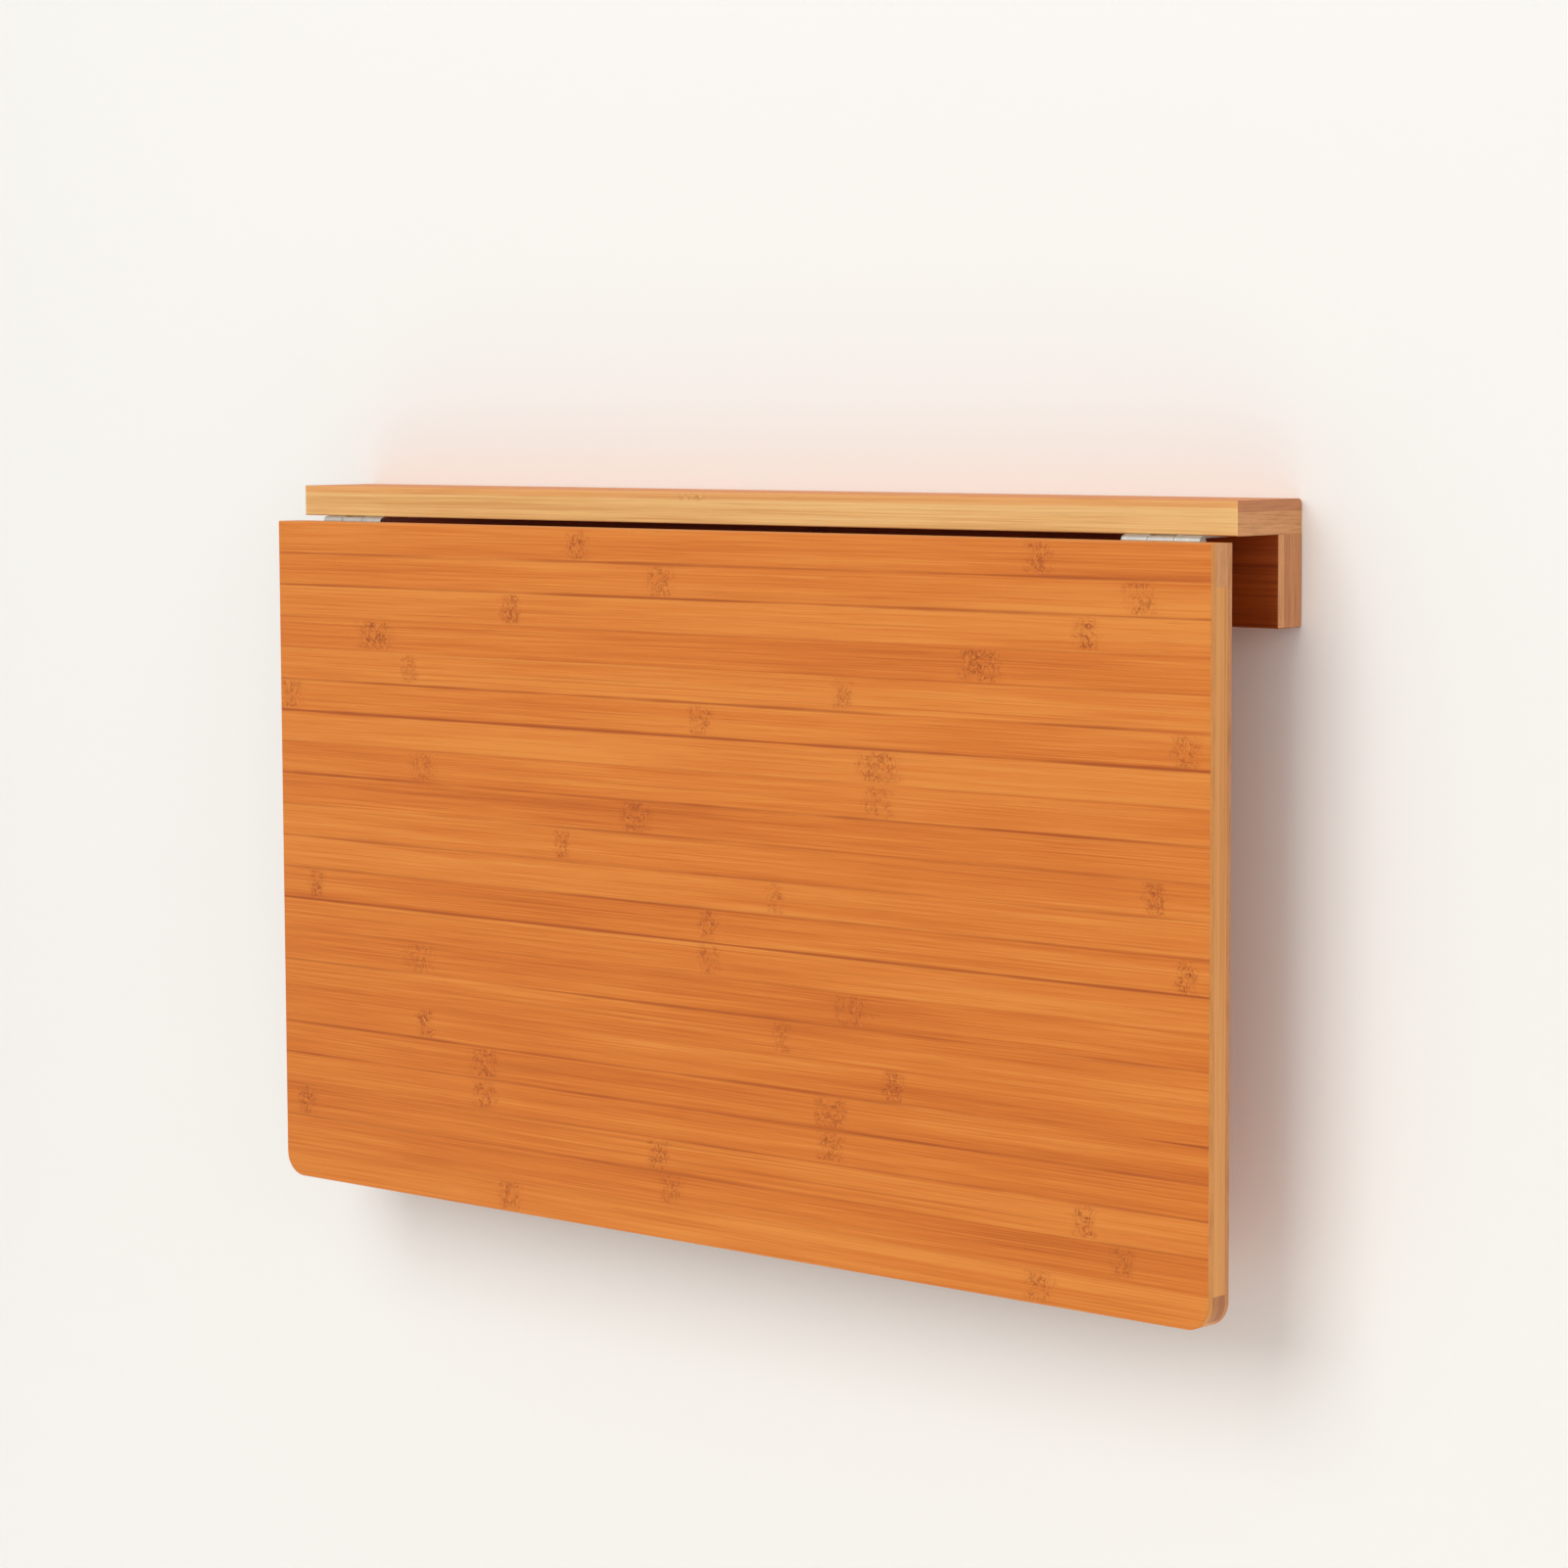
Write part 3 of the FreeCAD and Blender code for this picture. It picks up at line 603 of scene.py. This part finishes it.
def settled(piece):
    """The piece with its modifiers made part of a plain mesh."""
    graph = bpy.context.evaluated_depsgraph_get()
    mesh = bpy.data.meshes.new_from_object(piece.evaluated_get(graph))
    old = piece.data
    piece.modifiers.clear()
    piece.data = mesh
    mesh.name = piece.name
    bpy.data.meshes.remove(old)
    return piece


def on_points(name, points, tree, material, values):
    """Piece that a node tree makes on some points, as a plain mesh."""
    mesh = bpy.data.meshes.new(f"{name}_points")
    mesh.from_pydata(points, [], [])
    made = new_object(name, mesh, material)
    modifier = made.modifiers.new("shape", "NODES")
    modifier.node_group = tree
    values = {**values, "Material": material}
    for socket in tree.interface.items_tree:
        if socket.in_out == "INPUT" and socket.name in values:
            modifier[socket.identifier] = values[socket.name]
    settled(made)
    shade_smooth_by_angle(made.data)
    return made


def keep(piece, body, slot, *nodes):
    """Ties a finished piece to its body, in place of CAD nodes. slot is not used."""
    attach(piece, body)
    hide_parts(*nodes)


def shade_smooth_by_angle(mesh):
    """Smooth faces, with edges kept sharp past an angle."""
    form = bmesh.new()
    form.from_mesh(mesh)
    for face in form.faces:
        face.smooth = True
    for edge in form.edges:
        edge.smooth = edge.is_manifold and edge.calc_face_angle(0.0) < SHARP_ANGLE
    form.to_mesh(mesh)
    form.free()


def lathe(name, profile, start, axis, material):
    """Closed ring of a profile of (distance along, radius) pairs, turned about an axis through start."""
    turn = axis.to_track_quat("Z", "Y").to_matrix()
    form = bmesh.new()
    rings = []
    for along, radius in profile:
        ring = []
        for index in range(ROUND_SIDES):
            angle = 2 * math.pi * index / ROUND_SIDES
            point = Vector((radius * math.cos(angle), radius * math.sin(angle), along))
            ring.append(form.verts.new(start + turn @ point))
        rings.append(ring)
    for first, second in zip(rings, rings[1:] + rings[:1]):
        for index in range(ROUND_SIDES):
            after = (index + 1) % ROUND_SIDES
            form.faces.new((first[index], first[after], second[after], second[index]))
    bmesh.ops.recalc_face_normals(form, faces=form.faces)
    made = from_form(name, form, material)
    shade_smooth_by_angle(made.data)
    return made


def islands(name):
    """Boxes of the separate solids in one CAD node."""
    form = bmesh.new()
    form.from_mesh(NODES[name].data)
    bmesh.ops.remove_doubles(form, verts=form.verts, dist=MERGE)
    left = set(form.verts)
    boxes = []
    while left:
        stack = [left.pop()]
        points = []
        while stack:
            vert = stack.pop()
            points.append(vert.co.copy())
            near = left & {edge.other_vert(vert) for edge in vert.link_edges}
            left -= near
            stack.extend(near)
        boxes.append([Vector(map(pick, zip(*points))) for pick in (min, max)])
    form.free()
    return sorted(boxes, key=lambda corners: tuple(corners[0]))


class TABLE_OT_leaf(bpy.types.Operator):
    """Finish the laminated leaf"""
    bl_idname = "wall_table.leaf"
    bl_label = "Leaf"

    def execute(self, context):
        dress(bamboo("leaf_face_bamboo", "leaf_face_layer", "XZ", "face", 3.0, places=NODE_PLACES,
                     strong=STRONG_SEAMS, end_tint=FACE_END), "leaf_face_layer")
        dress(bamboo("leaf_back_bamboo", "leaf_back_layer", "XZ", "face", 41.0, marks=0.5, end_tint=BACK_END),
              "leaf_back_layer")
        for name, seed, tint in (("leaf_hinge_strip", 17.0, NO_TINT), ("leaf_free_strip", 19.0, FREE_END)):
            dress(bamboo(f"{name}_bamboo", name, "XZ", "side", seed, marks=0.1, end_tint=tint), name)
        for side, seed in zip(SIDES, (23.0, 31.0)):
            name = f"leaf_end_strip_{side}"
            dress(bamboo(f"{name}_bamboo", name, "ZX", "side", seed), name)
        dress(bamboo("leaf_core_bamboo", "leaf_core", "ZX", "side", 29.0, marks=0.3), "leaf_core")
        return {"FINISHED"}


class TABLE_OT_wall_unit(bpy.types.Operator):
    """Finish the shelf, the wall rail and their dowels"""
    bl_idname = "wall_table.wall_unit"
    bl_label = "Shelf and rail"

    def execute(self, context):
        tint = context.scene.bamboo_looks.shelf_face
        dress(bamboo("shelf_bamboo", "shelf_board", "XY", "edge", 5.0, marks=0.25, face_tint=tint),
              "shelf_board")
        # The rail's darkened tones carry painted shade of the shadow between the rail and the leaf.
        dress(bamboo("rail_bamboo", "wall_rail", "XZ", "rail", 11.0, marks=0.3), "wall_rail")
        for name, grain in (("shelf_dowels", "ZX"), ("rest_block_dowels", "YX")):
            dress(bamboo(f"{name}_bamboo", name, grain, "edge", 2.0), name)
        return {"FINISHED"}


class TABLE_OT_rest_blocks(bpy.types.Operator):
    """Build the rest blocks and their pads"""
    bl_idname = "wall_table.rest_blocks"
    bl_label = "Rest blocks"

    def execute(self, context):
        ease = context.scene.hardware_looks.arm_ease
        wood = bamboo("block_bamboo", "rest_block_left", "ZX", "face", 47.0, marks=0.1)
        rubber = black_rubber("pad_rubber")
        for side in SIDES:
            block = self.block(f"rest_block_{side}", wood, ease)
            keep(block, "wall_unit", "bamboo_amber", f"rest_block_{side}")
            pad = self.pad(f"rest_pad_{side}", rubber)
            keep(pad, "wall_unit", "rubber", f"rest_pad_{side}")
        return {"FINISHED"}

    def block(self, node, wood, ease):
        """Block with eased edges, apart from the sides and the top of its face on the rail."""
        low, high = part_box(node)
        form = bmesh.new()
        size = Matrix.Diagonal((*(high - low), 1.0))
        bmesh.ops.create_cube(form, size=1.0, matrix=Matrix.Translation((low + high) / 2) @ size)
        open_edges = [edge for edge in form.edges if any(vert.co.y < low.y + NEAR for vert in edge.verts)
                      or all(vert.co.z < low.z + NEAR for vert in edge.verts)]
        bmesh.ops.bevel(form, geom=open_edges, offset=ease, segments=EASE_STEPS, profile=0.5, affect="EDGES")
        block = from_form(f"{node}_eased", form, wood)
        shade_smooth_by_angle(block.data)
        return block

    def pad(self, node, rubber):
        """Round pad with a domed rim and a dished middle that a small hole goes through."""
        low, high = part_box(node)
        radius = (high.x - low.x) / 2
        thick = high.y - low.y
        start = Vector(((low.x + high.x) / 2, high.y, (low.z + high.z) / 2))
        profile = [(along * thick, out * radius) for along, out in PAD_PROFILE]
        return lathe(f"{node}_domed", profile, start, Vector((0, -1, 0)), rubber)


def new_tree(name, **inputs):
    """Node tree with a geometry input and output and the given inputs: its board and its inputs' sockets."""
    tree = bpy.data.node_groups.new(name, "GeometryNodeTree")
    for key, kind in {"Geometry": "Geometry", **inputs, "material": "Material"}.items():
        label = key.capitalize().replace("_", " ")
        tree.interface.new_socket(label, in_out="INPUT", socket_type=f"NodeSocket{kind}")
    tree.interface.new_socket("Geometry", in_out="OUTPUT", socket_type="NodeSocketGeometry")
    board = Board(tree)
    return board, board.node("NodeGroupInput").outputs


def turned_form(board, way, radius, sides):
    """Closed mesh round a straight curve, with a radius at each of its points."""
    circle = board.node("GeometryNodeCurvePrimitiveCircle", {"Resolution": sides, "Radius": 1.0})
    return board.node("GeometryNodeCurveToMesh", {
        "Curve": way, "Profile Curve": circle.outputs[0], "Scale": radius, "Fill Caps": True}).outputs[0]


def cut_and_spread(board, given, form, cutters, turn=(0.0, 0.0, 0.0)):
    """Takes the cutters from the form, and puts the result on the points of the tree's geometry."""
    cut = board.node("GeometryNodeMeshBoolean", operation="DIFFERENCE", solver="EXACT")
    put(cut.inputs["Mesh 1"], form)
    for cutter in cutters:
        put(cut.inputs["Mesh 2"], cutter)
    spread = board.node("GeometryNodeInstanceOnPoints", {
        "Points": given["Geometry"], "Instance": cut.outputs["Mesh"], "Rotation": turn})
    real = board.node("GeometryNodeRealizeInstances", {"Geometry": spread.outputs[0]})
    dressed = board.node("GeometryNodeSetMaterial", {
        "Geometry": real.outputs[0], "Material": given["Material"]})
    board.node("NodeGroupOutput", {"Geometry": dressed.outputs[0]})
    return board.tree


def sleeve_tree():
    """Ribbed tubes on the points of a mesh, along the X axis."""
    board, given = new_tree("ribbed_sleeve", length="Float", radius="Float", bore="Float", rib_depth="Float",
                            ribs="Int")
    line = board.node("GeometryNodeCurvePrimitiveLine", {"End": board.vector(given["Length"], 0.0, 0.0)})
    rings = board.plus_share(1.0, RINGS_A_RIB, given["Ribs"])
    way = board.node("GeometryNodeResampleCurve", {"Curve": line.outputs[0], "Count": rings})
    along = board.times(board.node("GeometryNodeSplineParameter").outputs["Factor"], given["Ribs"])
    groove = board.falling(board.apart(along, board.math("ROUND", along)), 0.0, GROOVE_REACH)
    radius = board.minus(given["Radius"], board.times(groove, given["Rib depth"]))
    drill = board.node("GeometryNodeMeshCylinder", {
        "Vertices": ROUND_SIDES, "Radius": given["Bore"], "Depth": board.times(given["Length"], 3.0)})
    level = board.node("GeometryNodeTransform", {
        "Geometry": drill.outputs["Mesh"], "Rotation": (0.0, math.pi / 2, 0.0)})
    tube = turned_form(board, way.outputs[0], radius, ROUND_SIDES)
    return cut_and_spread(board, given, tube, [level.outputs[0]])


class TABLE_OT_prop_frame(bpy.types.Operator):
    """Build the prop frame's eased arms and ribbed sleeves, and finish its rod"""
    bl_idname = "wall_table.prop_frame"
    bl_label = "Prop frame"

    def execute(self, context):
        hardware = context.scene.hardware_looks
        wood = bamboo("arm_bamboo", "prop_arm_left", "ZY", "face", 53.0, marks=0.5)
        dress(bamboo("rod_bamboo", "prop_foot_rod", "XZ", "face", 59.0, marks=0.3), "prop_foot_rod")
        rubber = black_rubber("sleeve_rubber")
        tree = sleeve_tree()
        rod_low, rod_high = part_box("prop_foot_rod")
        rod_radius = (rod_high.z - rod_low.z) / 2
        for side in SIDES:
            arm = self.arm(f"prop_arm_{side}", wood, hardware, rod_radius)
            keep(arm, "prop_frame", "bamboo_amber", f"prop_arm_{side}")
            sleeve = self.sleeve(f"prop_sleeve_{side}", tree, rubber, hardware, rod_radius)
            keep(sleeve, "prop_frame", "rubber", f"prop_sleeve_{side}")
        return {"FINISHED"}

    def arm(self, node, wood, hardware, rod_radius):
        """Bar with round ends and eased edges, bored for its pivot pin and the foot rod."""
        low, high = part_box(node)
        radius = (high.y - low.y) / 2
        middle_y = (low.y + high.y) / 2
        ends = ((high.z - radius, 0.0, hardware.pin_bore), (low.z + radius, math.pi, rod_radius))
        outline = []
        for centre_z, start, _ in ends:
            for index in range(ARM_END_STEPS + 1):
                angle = start + math.pi * index / ARM_END_STEPS
                outline.append((middle_y + radius * math.cos(angle), centre_z + radius * math.sin(angle)))
        form = bmesh.new()
        face = form.faces.new([form.verts.new((low.x, y, z)) for y, z in outline])
        made = bmesh.ops.extrude_face_region(form, geom=[face])
        moved = [item for item in made["geom"] if isinstance(item, bmesh.types.BMVert)]
        bmesh.ops.translate(form, verts=moved, vec=(high.x - low.x, 0, 0))
        bmesh.ops.recalc_face_normals(form, faces=form.faces)
        arm = from_form(f"{node}_eased", form, wood)

        bevel = arm.modifiers.new("ease", "BEVEL")
        bevel.width = hardware.arm_ease
        bevel.segments = EASE_STEPS
        bevel.limit_method = "ANGLE"
        bevel.angle_limit = EASE_ANGLE
        cutters = []
        for centre_z, _, bore in ends:
            place = ((low.x + high.x) / 2, middle_y, centre_z)
            cutters.append(self.bored(arm, place, bore, 2 * (high.x - low.x)))
        settled(arm)
        for cutter in cutters:
            bpy.data.objects.remove(cutter)
        shade_smooth_by_angle(arm.data)
        return arm

    def bored(self, arm, place, radius, length):
        """Gives an arm a bore along the X axis: the drill that cuts it."""
        form = bmesh.new()
        turn = Matrix.Rotation(math.pi / 2, 4, "Y")
        bmesh.ops.create_cone(form, cap_ends=True, segments=ROUND_SIDES, radius1=radius, radius2=radius,
                              depth=length, matrix=Matrix.Translation(place) @ turn)
        drill = from_form("bore", form, arm.data.materials[0])
        bore = arm.modifiers.new("bore", "BOOLEAN")
        bore.object = drill
        bore.operation = "DIFFERENCE"
        bore.solver = "EXACT"
        return drill

    def sleeve(self, node, tree, rubber, hardware, bore):
        """Ribbed rubber tube round the foot rod."""
        low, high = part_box(node)
        start = (low.x, (low.y + high.y) / 2, (low.z + high.z) / 2)
        return on_points(f"{node}_ribbed", [start], tree, rubber, {
            "Length": high.x - low.x, "Radius": (high.z - low.z) / 2, "Bore": bore,
            "Ribs": hardware.rib_count, "Rib depth": hardware.rib_depth})


class TABLE_OT_hardware(bpy.types.Operator):
    """Finish the hinges, pivot brackets and pins"""
    bl_idname = "wall_table.hardware"
    bl_label = "Hinges and brackets"

    def execute(self, context):
        steel = plated_steel("plate_zinc", 1.0)
        pins = plated_steel("pin_zinc", 1.6)
        for side in SIDES:
            dress(steel, f"hinge_plate_fixed_{side}", f"hinge_plate_moving_{side}", f"pivot_bracket_{side}")
            dress(pins, f"hinge_pin_{side}", f"pivot_pin_{side}")
        return {"FINISHED"}


def by_index(board, *values):
    """Value for each point of a curve, by its number."""
    index = board.node("GeometryNodeInputIndex").outputs[0]
    switch = board.node("GeometryNodeIndexSwitch", {"Index": index}, data_type="FLOAT")
    while len(switch.index_switch_items) < len(values):
        switch.index_switch_items.new()
    for number, value in enumerate(values):
        put(switch.inputs[str(number)], value)
    return switch.outputs[0]


def screw_tree():
    """Cross recessed wood screws on the points of a mesh, driven along the local Z axis."""
    board, given = new_tree("cross_screws", head_radius="Float", shank_radius="Float", length="Float",
                            recess_width="Float", recess_depth="Float", drive_turn="Vector")
    shank = given["Shank radius"]
    head_depth = board.minus(given["Head radius"], shank)
    tip_start = board.minus(given["Length"], board.times(shank, TIP_LENGTH))
    heights = (0.0, head_depth, tip_start, given["Length"])
    radii = (given["Head radius"], shank, shank, board.times(shank, POINT_SHARE))
    line = board.node("GeometryNodeCurvePrimitiveLine")
    corners = board.node("GeometryNodeResampleCurve", {"Curve": line.outputs[0], "Count": len(heights)})
    way = board.node("GeometryNodeSetPosition", {
        "Geometry": corners.outputs[0], "Position": board.vector(0.0, 0.0, by_index(board, *heights))})
    long_side = board.times(given["Head radius"], RECESS_SHARE)
    deep = board.times(given["Recess depth"], 2.0)
    slots = []
    for size in (board.vector(long_side, given["Recess width"], deep),
                 board.vector(given["Recess width"], long_side, deep)):
        slots.append(board.node("GeometryNodeMeshCube", {"Size": size}).outputs["Mesh"])
    form = turned_form(board, way.outputs[0], by_index(board, *radii), SCREW_SIDES)
    return cut_and_spread(board, given, form, slots, given["Drive turn"])


class TABLE_OT_screws(bpy.types.Operator):
    """Build the cross recessed screws of the hinges and brackets"""
    bl_idname = "wall_table.screws"
    bl_label = "Screws"

    def execute(self, context):
        hardware = context.scene.hardware_looks
        # The screws' zinc is 1.4 times lighter than the plates': painted light, so that the small heads show
        # against the shaded plates.
        steel = plated_steel("screw_zinc", 2.0, painted_light_gain=1.4)
        tree = screw_tree()
        for name, (body, drive, shank_share) in SCREWS.items():
            boxes = islands(name)
            heads = [self.head(low, high, drive) for low, high in boxes]
            low, high = boxes[-1]
            head_radius = (high.x - low.x) / 2
            length = high.z - low.z if drive == "up" else high.y - low.y
            screws = on_points(f"{name}_crossed", heads, tree, steel, {
                "Head radius": head_radius, "Shank radius": head_radius * shank_share, "Length": length,
                "Recess width": hardware.recess_width, "Recess depth": hardware.recess_depth,
                "Drive turn": DRIVE_TURNS[drive]})
            keep(screws, body, "screw_steel", name)
        return {"FINISHED"}

    def head(self, low, high, drive):
        """Middle of a screw's flat face."""
        middle = (low + high) / 2
        if drive == "up":
            return (middle.x, middle.y, low.z)
        return (middle.x, high.y, middle.z)


class TABLE_OT_stage(bpy.types.Operator):
    """Set up the wall, the light and the camera"""
    bl_idname = "wall_table.stage"
    bl_label = "Stage"

    def execute(self, context):
        looks = context.scene.stage_looks
        context.scene.view_settings.view_transform = "Standard"
        self.room(looks)
        self.world(context.scene, looks)
        self.lamps(context.scene, looks)
        self.camera(context.scene, looks)
        return {"FINISHED"}

    def room(self, looks):
        """Wall behind the rail and a floor below: seen from the room's side, fading out far away."""
        path = [(WALL_GAP, ROOM_REACH)]
        for index in range(ROOM_STEPS + 1):
            angle = 0.5 * math.pi * index / ROOM_STEPS
            path.append((WALL_GAP - ROOM_ROUND * (1 - math.cos(angle)),
                         FLOOR_Z + ROOM_ROUND * (1 - math.sin(angle))))
        path.append((-ROOM_REACH, FLOOR_Z))
        form = bmesh.new()
        rows = [[form.verts.new((x, y, z)) for x in (-ROOM_REACH, ROOM_REACH)] for y, z in path]
        for first, second in zip(rows, rows[1:]):
            face = form.faces.new((first[0], second[0], second[1], first[1]))
            face.smooth = True
        from_form("room", form, self.room_paint(looks))

    def room_paint(self, looks):
        """Pale paint, clear from behind, far away, and for light that reaches what touches the wall."""
        material, board, shader = new_material("room_paint")
        put(shader.inputs["Base Color"], opaque(looks.wall))
        put(shader.inputs["Roughness"], 0.9)
        coords = board.node("ShaderNodeTexCoord").outputs["Object"]
        away = board.node("ShaderNodeVectorMath", {0: coords}, operation="LENGTH").outputs["Value"]
        far = board.smooth(away, FADE_START, ROOM_REACH)
        back = board.node("ShaderNodeNewGeometry").outputs["Backfacing"]
        ray_length = board.node("ShaderNodeLightPath").outputs["Ray Length"]
        touching = board.math("LESS_THAN", ray_length, TOUCHING)
        unseen = board.math("MAXIMUM", board.math("MAXIMUM", far, back), touching)
        either = board.node("ShaderNodeMixShader", {"Fac": unseen})
        put(either.inputs[1], shader.outputs[0])
        put(either.inputs[2], board.node("ShaderNodeBsdfTransparent").outputs[0])
        put(board.tree.nodes["Material Output"].inputs["Surface"], either.outputs[0])
        return material

    def world(self, scene, looks):
        """Even white light, which is brighter where it is seen or mirrored."""
        world = bpy.data.worlds.new("studio")
        scene.world = world
        world.use_nodes = True
        board = Board(world.node_tree)
        rays = board.node("ShaderNodeLightPath").outputs
        seen = board.math("MAXIMUM", rays["Is Camera Ray"],
                          board.math("MAXIMUM", rays["Is Glossy Ray"], rays["Is Transmission Ray"]))
        back = world.node_tree.nodes["Background"]
        put(back.inputs["Color"], opaque((1.0, 1.0, 1.0)))
        put(back.inputs["Strength"], board.choose(seen, looks.ambient, 1.0))

    def lamps(self, scene, looks):
        """Large soft lamps."""
        for name, stand in LAMPS.items():
            light = bpy.data.lights.new(name, "AREA")
            light.energy = getattr(looks, f"{name}_power")
            light.size = stand.size
            lamp = bpy.data.objects.new(name, light)
            lamp.location = stand.place
            sight = Vector(stand.aim) - Vector(stand.place)
            lamp.rotation_euler = sight.to_track_quat("-Z", "Y").to_euler()
            scene.collection.objects.link(lamp)

    def camera(self, scene, looks):
        """Camera that looks at its target from a distance, turned by its azimuth, elevation and roll."""
        sight = Vector((-math.sin(looks.azimuth) * math.cos(looks.elevation),
                        math.cos(looks.azimuth) * math.cos(looks.elevation),
                        -math.sin(looks.elevation)))
        level = Vector((math.cos(looks.azimuth), math.sin(looks.azimuth), 0.0))
        right = Matrix.Rotation(-looks.roll, 3, sight) @ level
        up = right.cross(sight)
        lens = bpy.data.cameras.new("camera")
        lens.lens = looks.lens
        lens.sensor_width = FILM_WIDTH
        holder = bpy.data.objects.new("camera", lens)
        turn = Matrix((right, up, -sight)).transposed().to_4x4()
        holder.matrix_world = Matrix.Translation(Vector(looks.target) - looks.distance * sight) @ turn
        scene.collection.objects.link(holder)
        scene.camera = holder


class TABLE_PT_panel(bpy.types.Panel):
    """Steps of the table's finish"""
    bl_idname = "TABLE_PT_panel"
    bl_label = "Wall table"
    bl_space_type = "VIEW_3D"
    bl_region_type = "UI"
    bl_category = "Wall Table"

    def draw(self, context):
        for step in STEPS:
            self.layout.operator(step.bl_idname)
        for group, kind in LOOKS.items():
            for name in kind.__annotations__:
                self.layout.prop(getattr(context.scene, group), name)


LOOKS = {"bamboo_looks": BambooLooks, "hardware_looks": HardwareLooks, "stage_looks": StageLooks}
STEPS = (TABLE_OT_leaf, TABLE_OT_wall_unit, TABLE_OT_rest_blocks, TABLE_OT_prop_frame, TABLE_OT_hardware,
         TABLE_OT_screws, TABLE_OT_stage)


def register():
    for kind in (*LOOKS.values(), *STEPS, TABLE_PT_panel):
        bpy.utils.register_class(kind)
    for name, kind in LOOKS.items():
        setattr(bpy.types.Scene, name, bpy.props.PointerProperty(type=kind))


def unregister():
    for name in LOOKS:
        delattr(bpy.types.Scene, name)
    for kind in reversed((*LOOKS.values(), *STEPS, TABLE_PT_panel)):
        bpy.utils.unregister_class(kind)


def main():
    register()
    for step in STEPS:
        group, name = step.bl_idname.split(".")
        getattr(getattr(bpy.ops, group), name)()


if __name__ == "__main__":
    main()
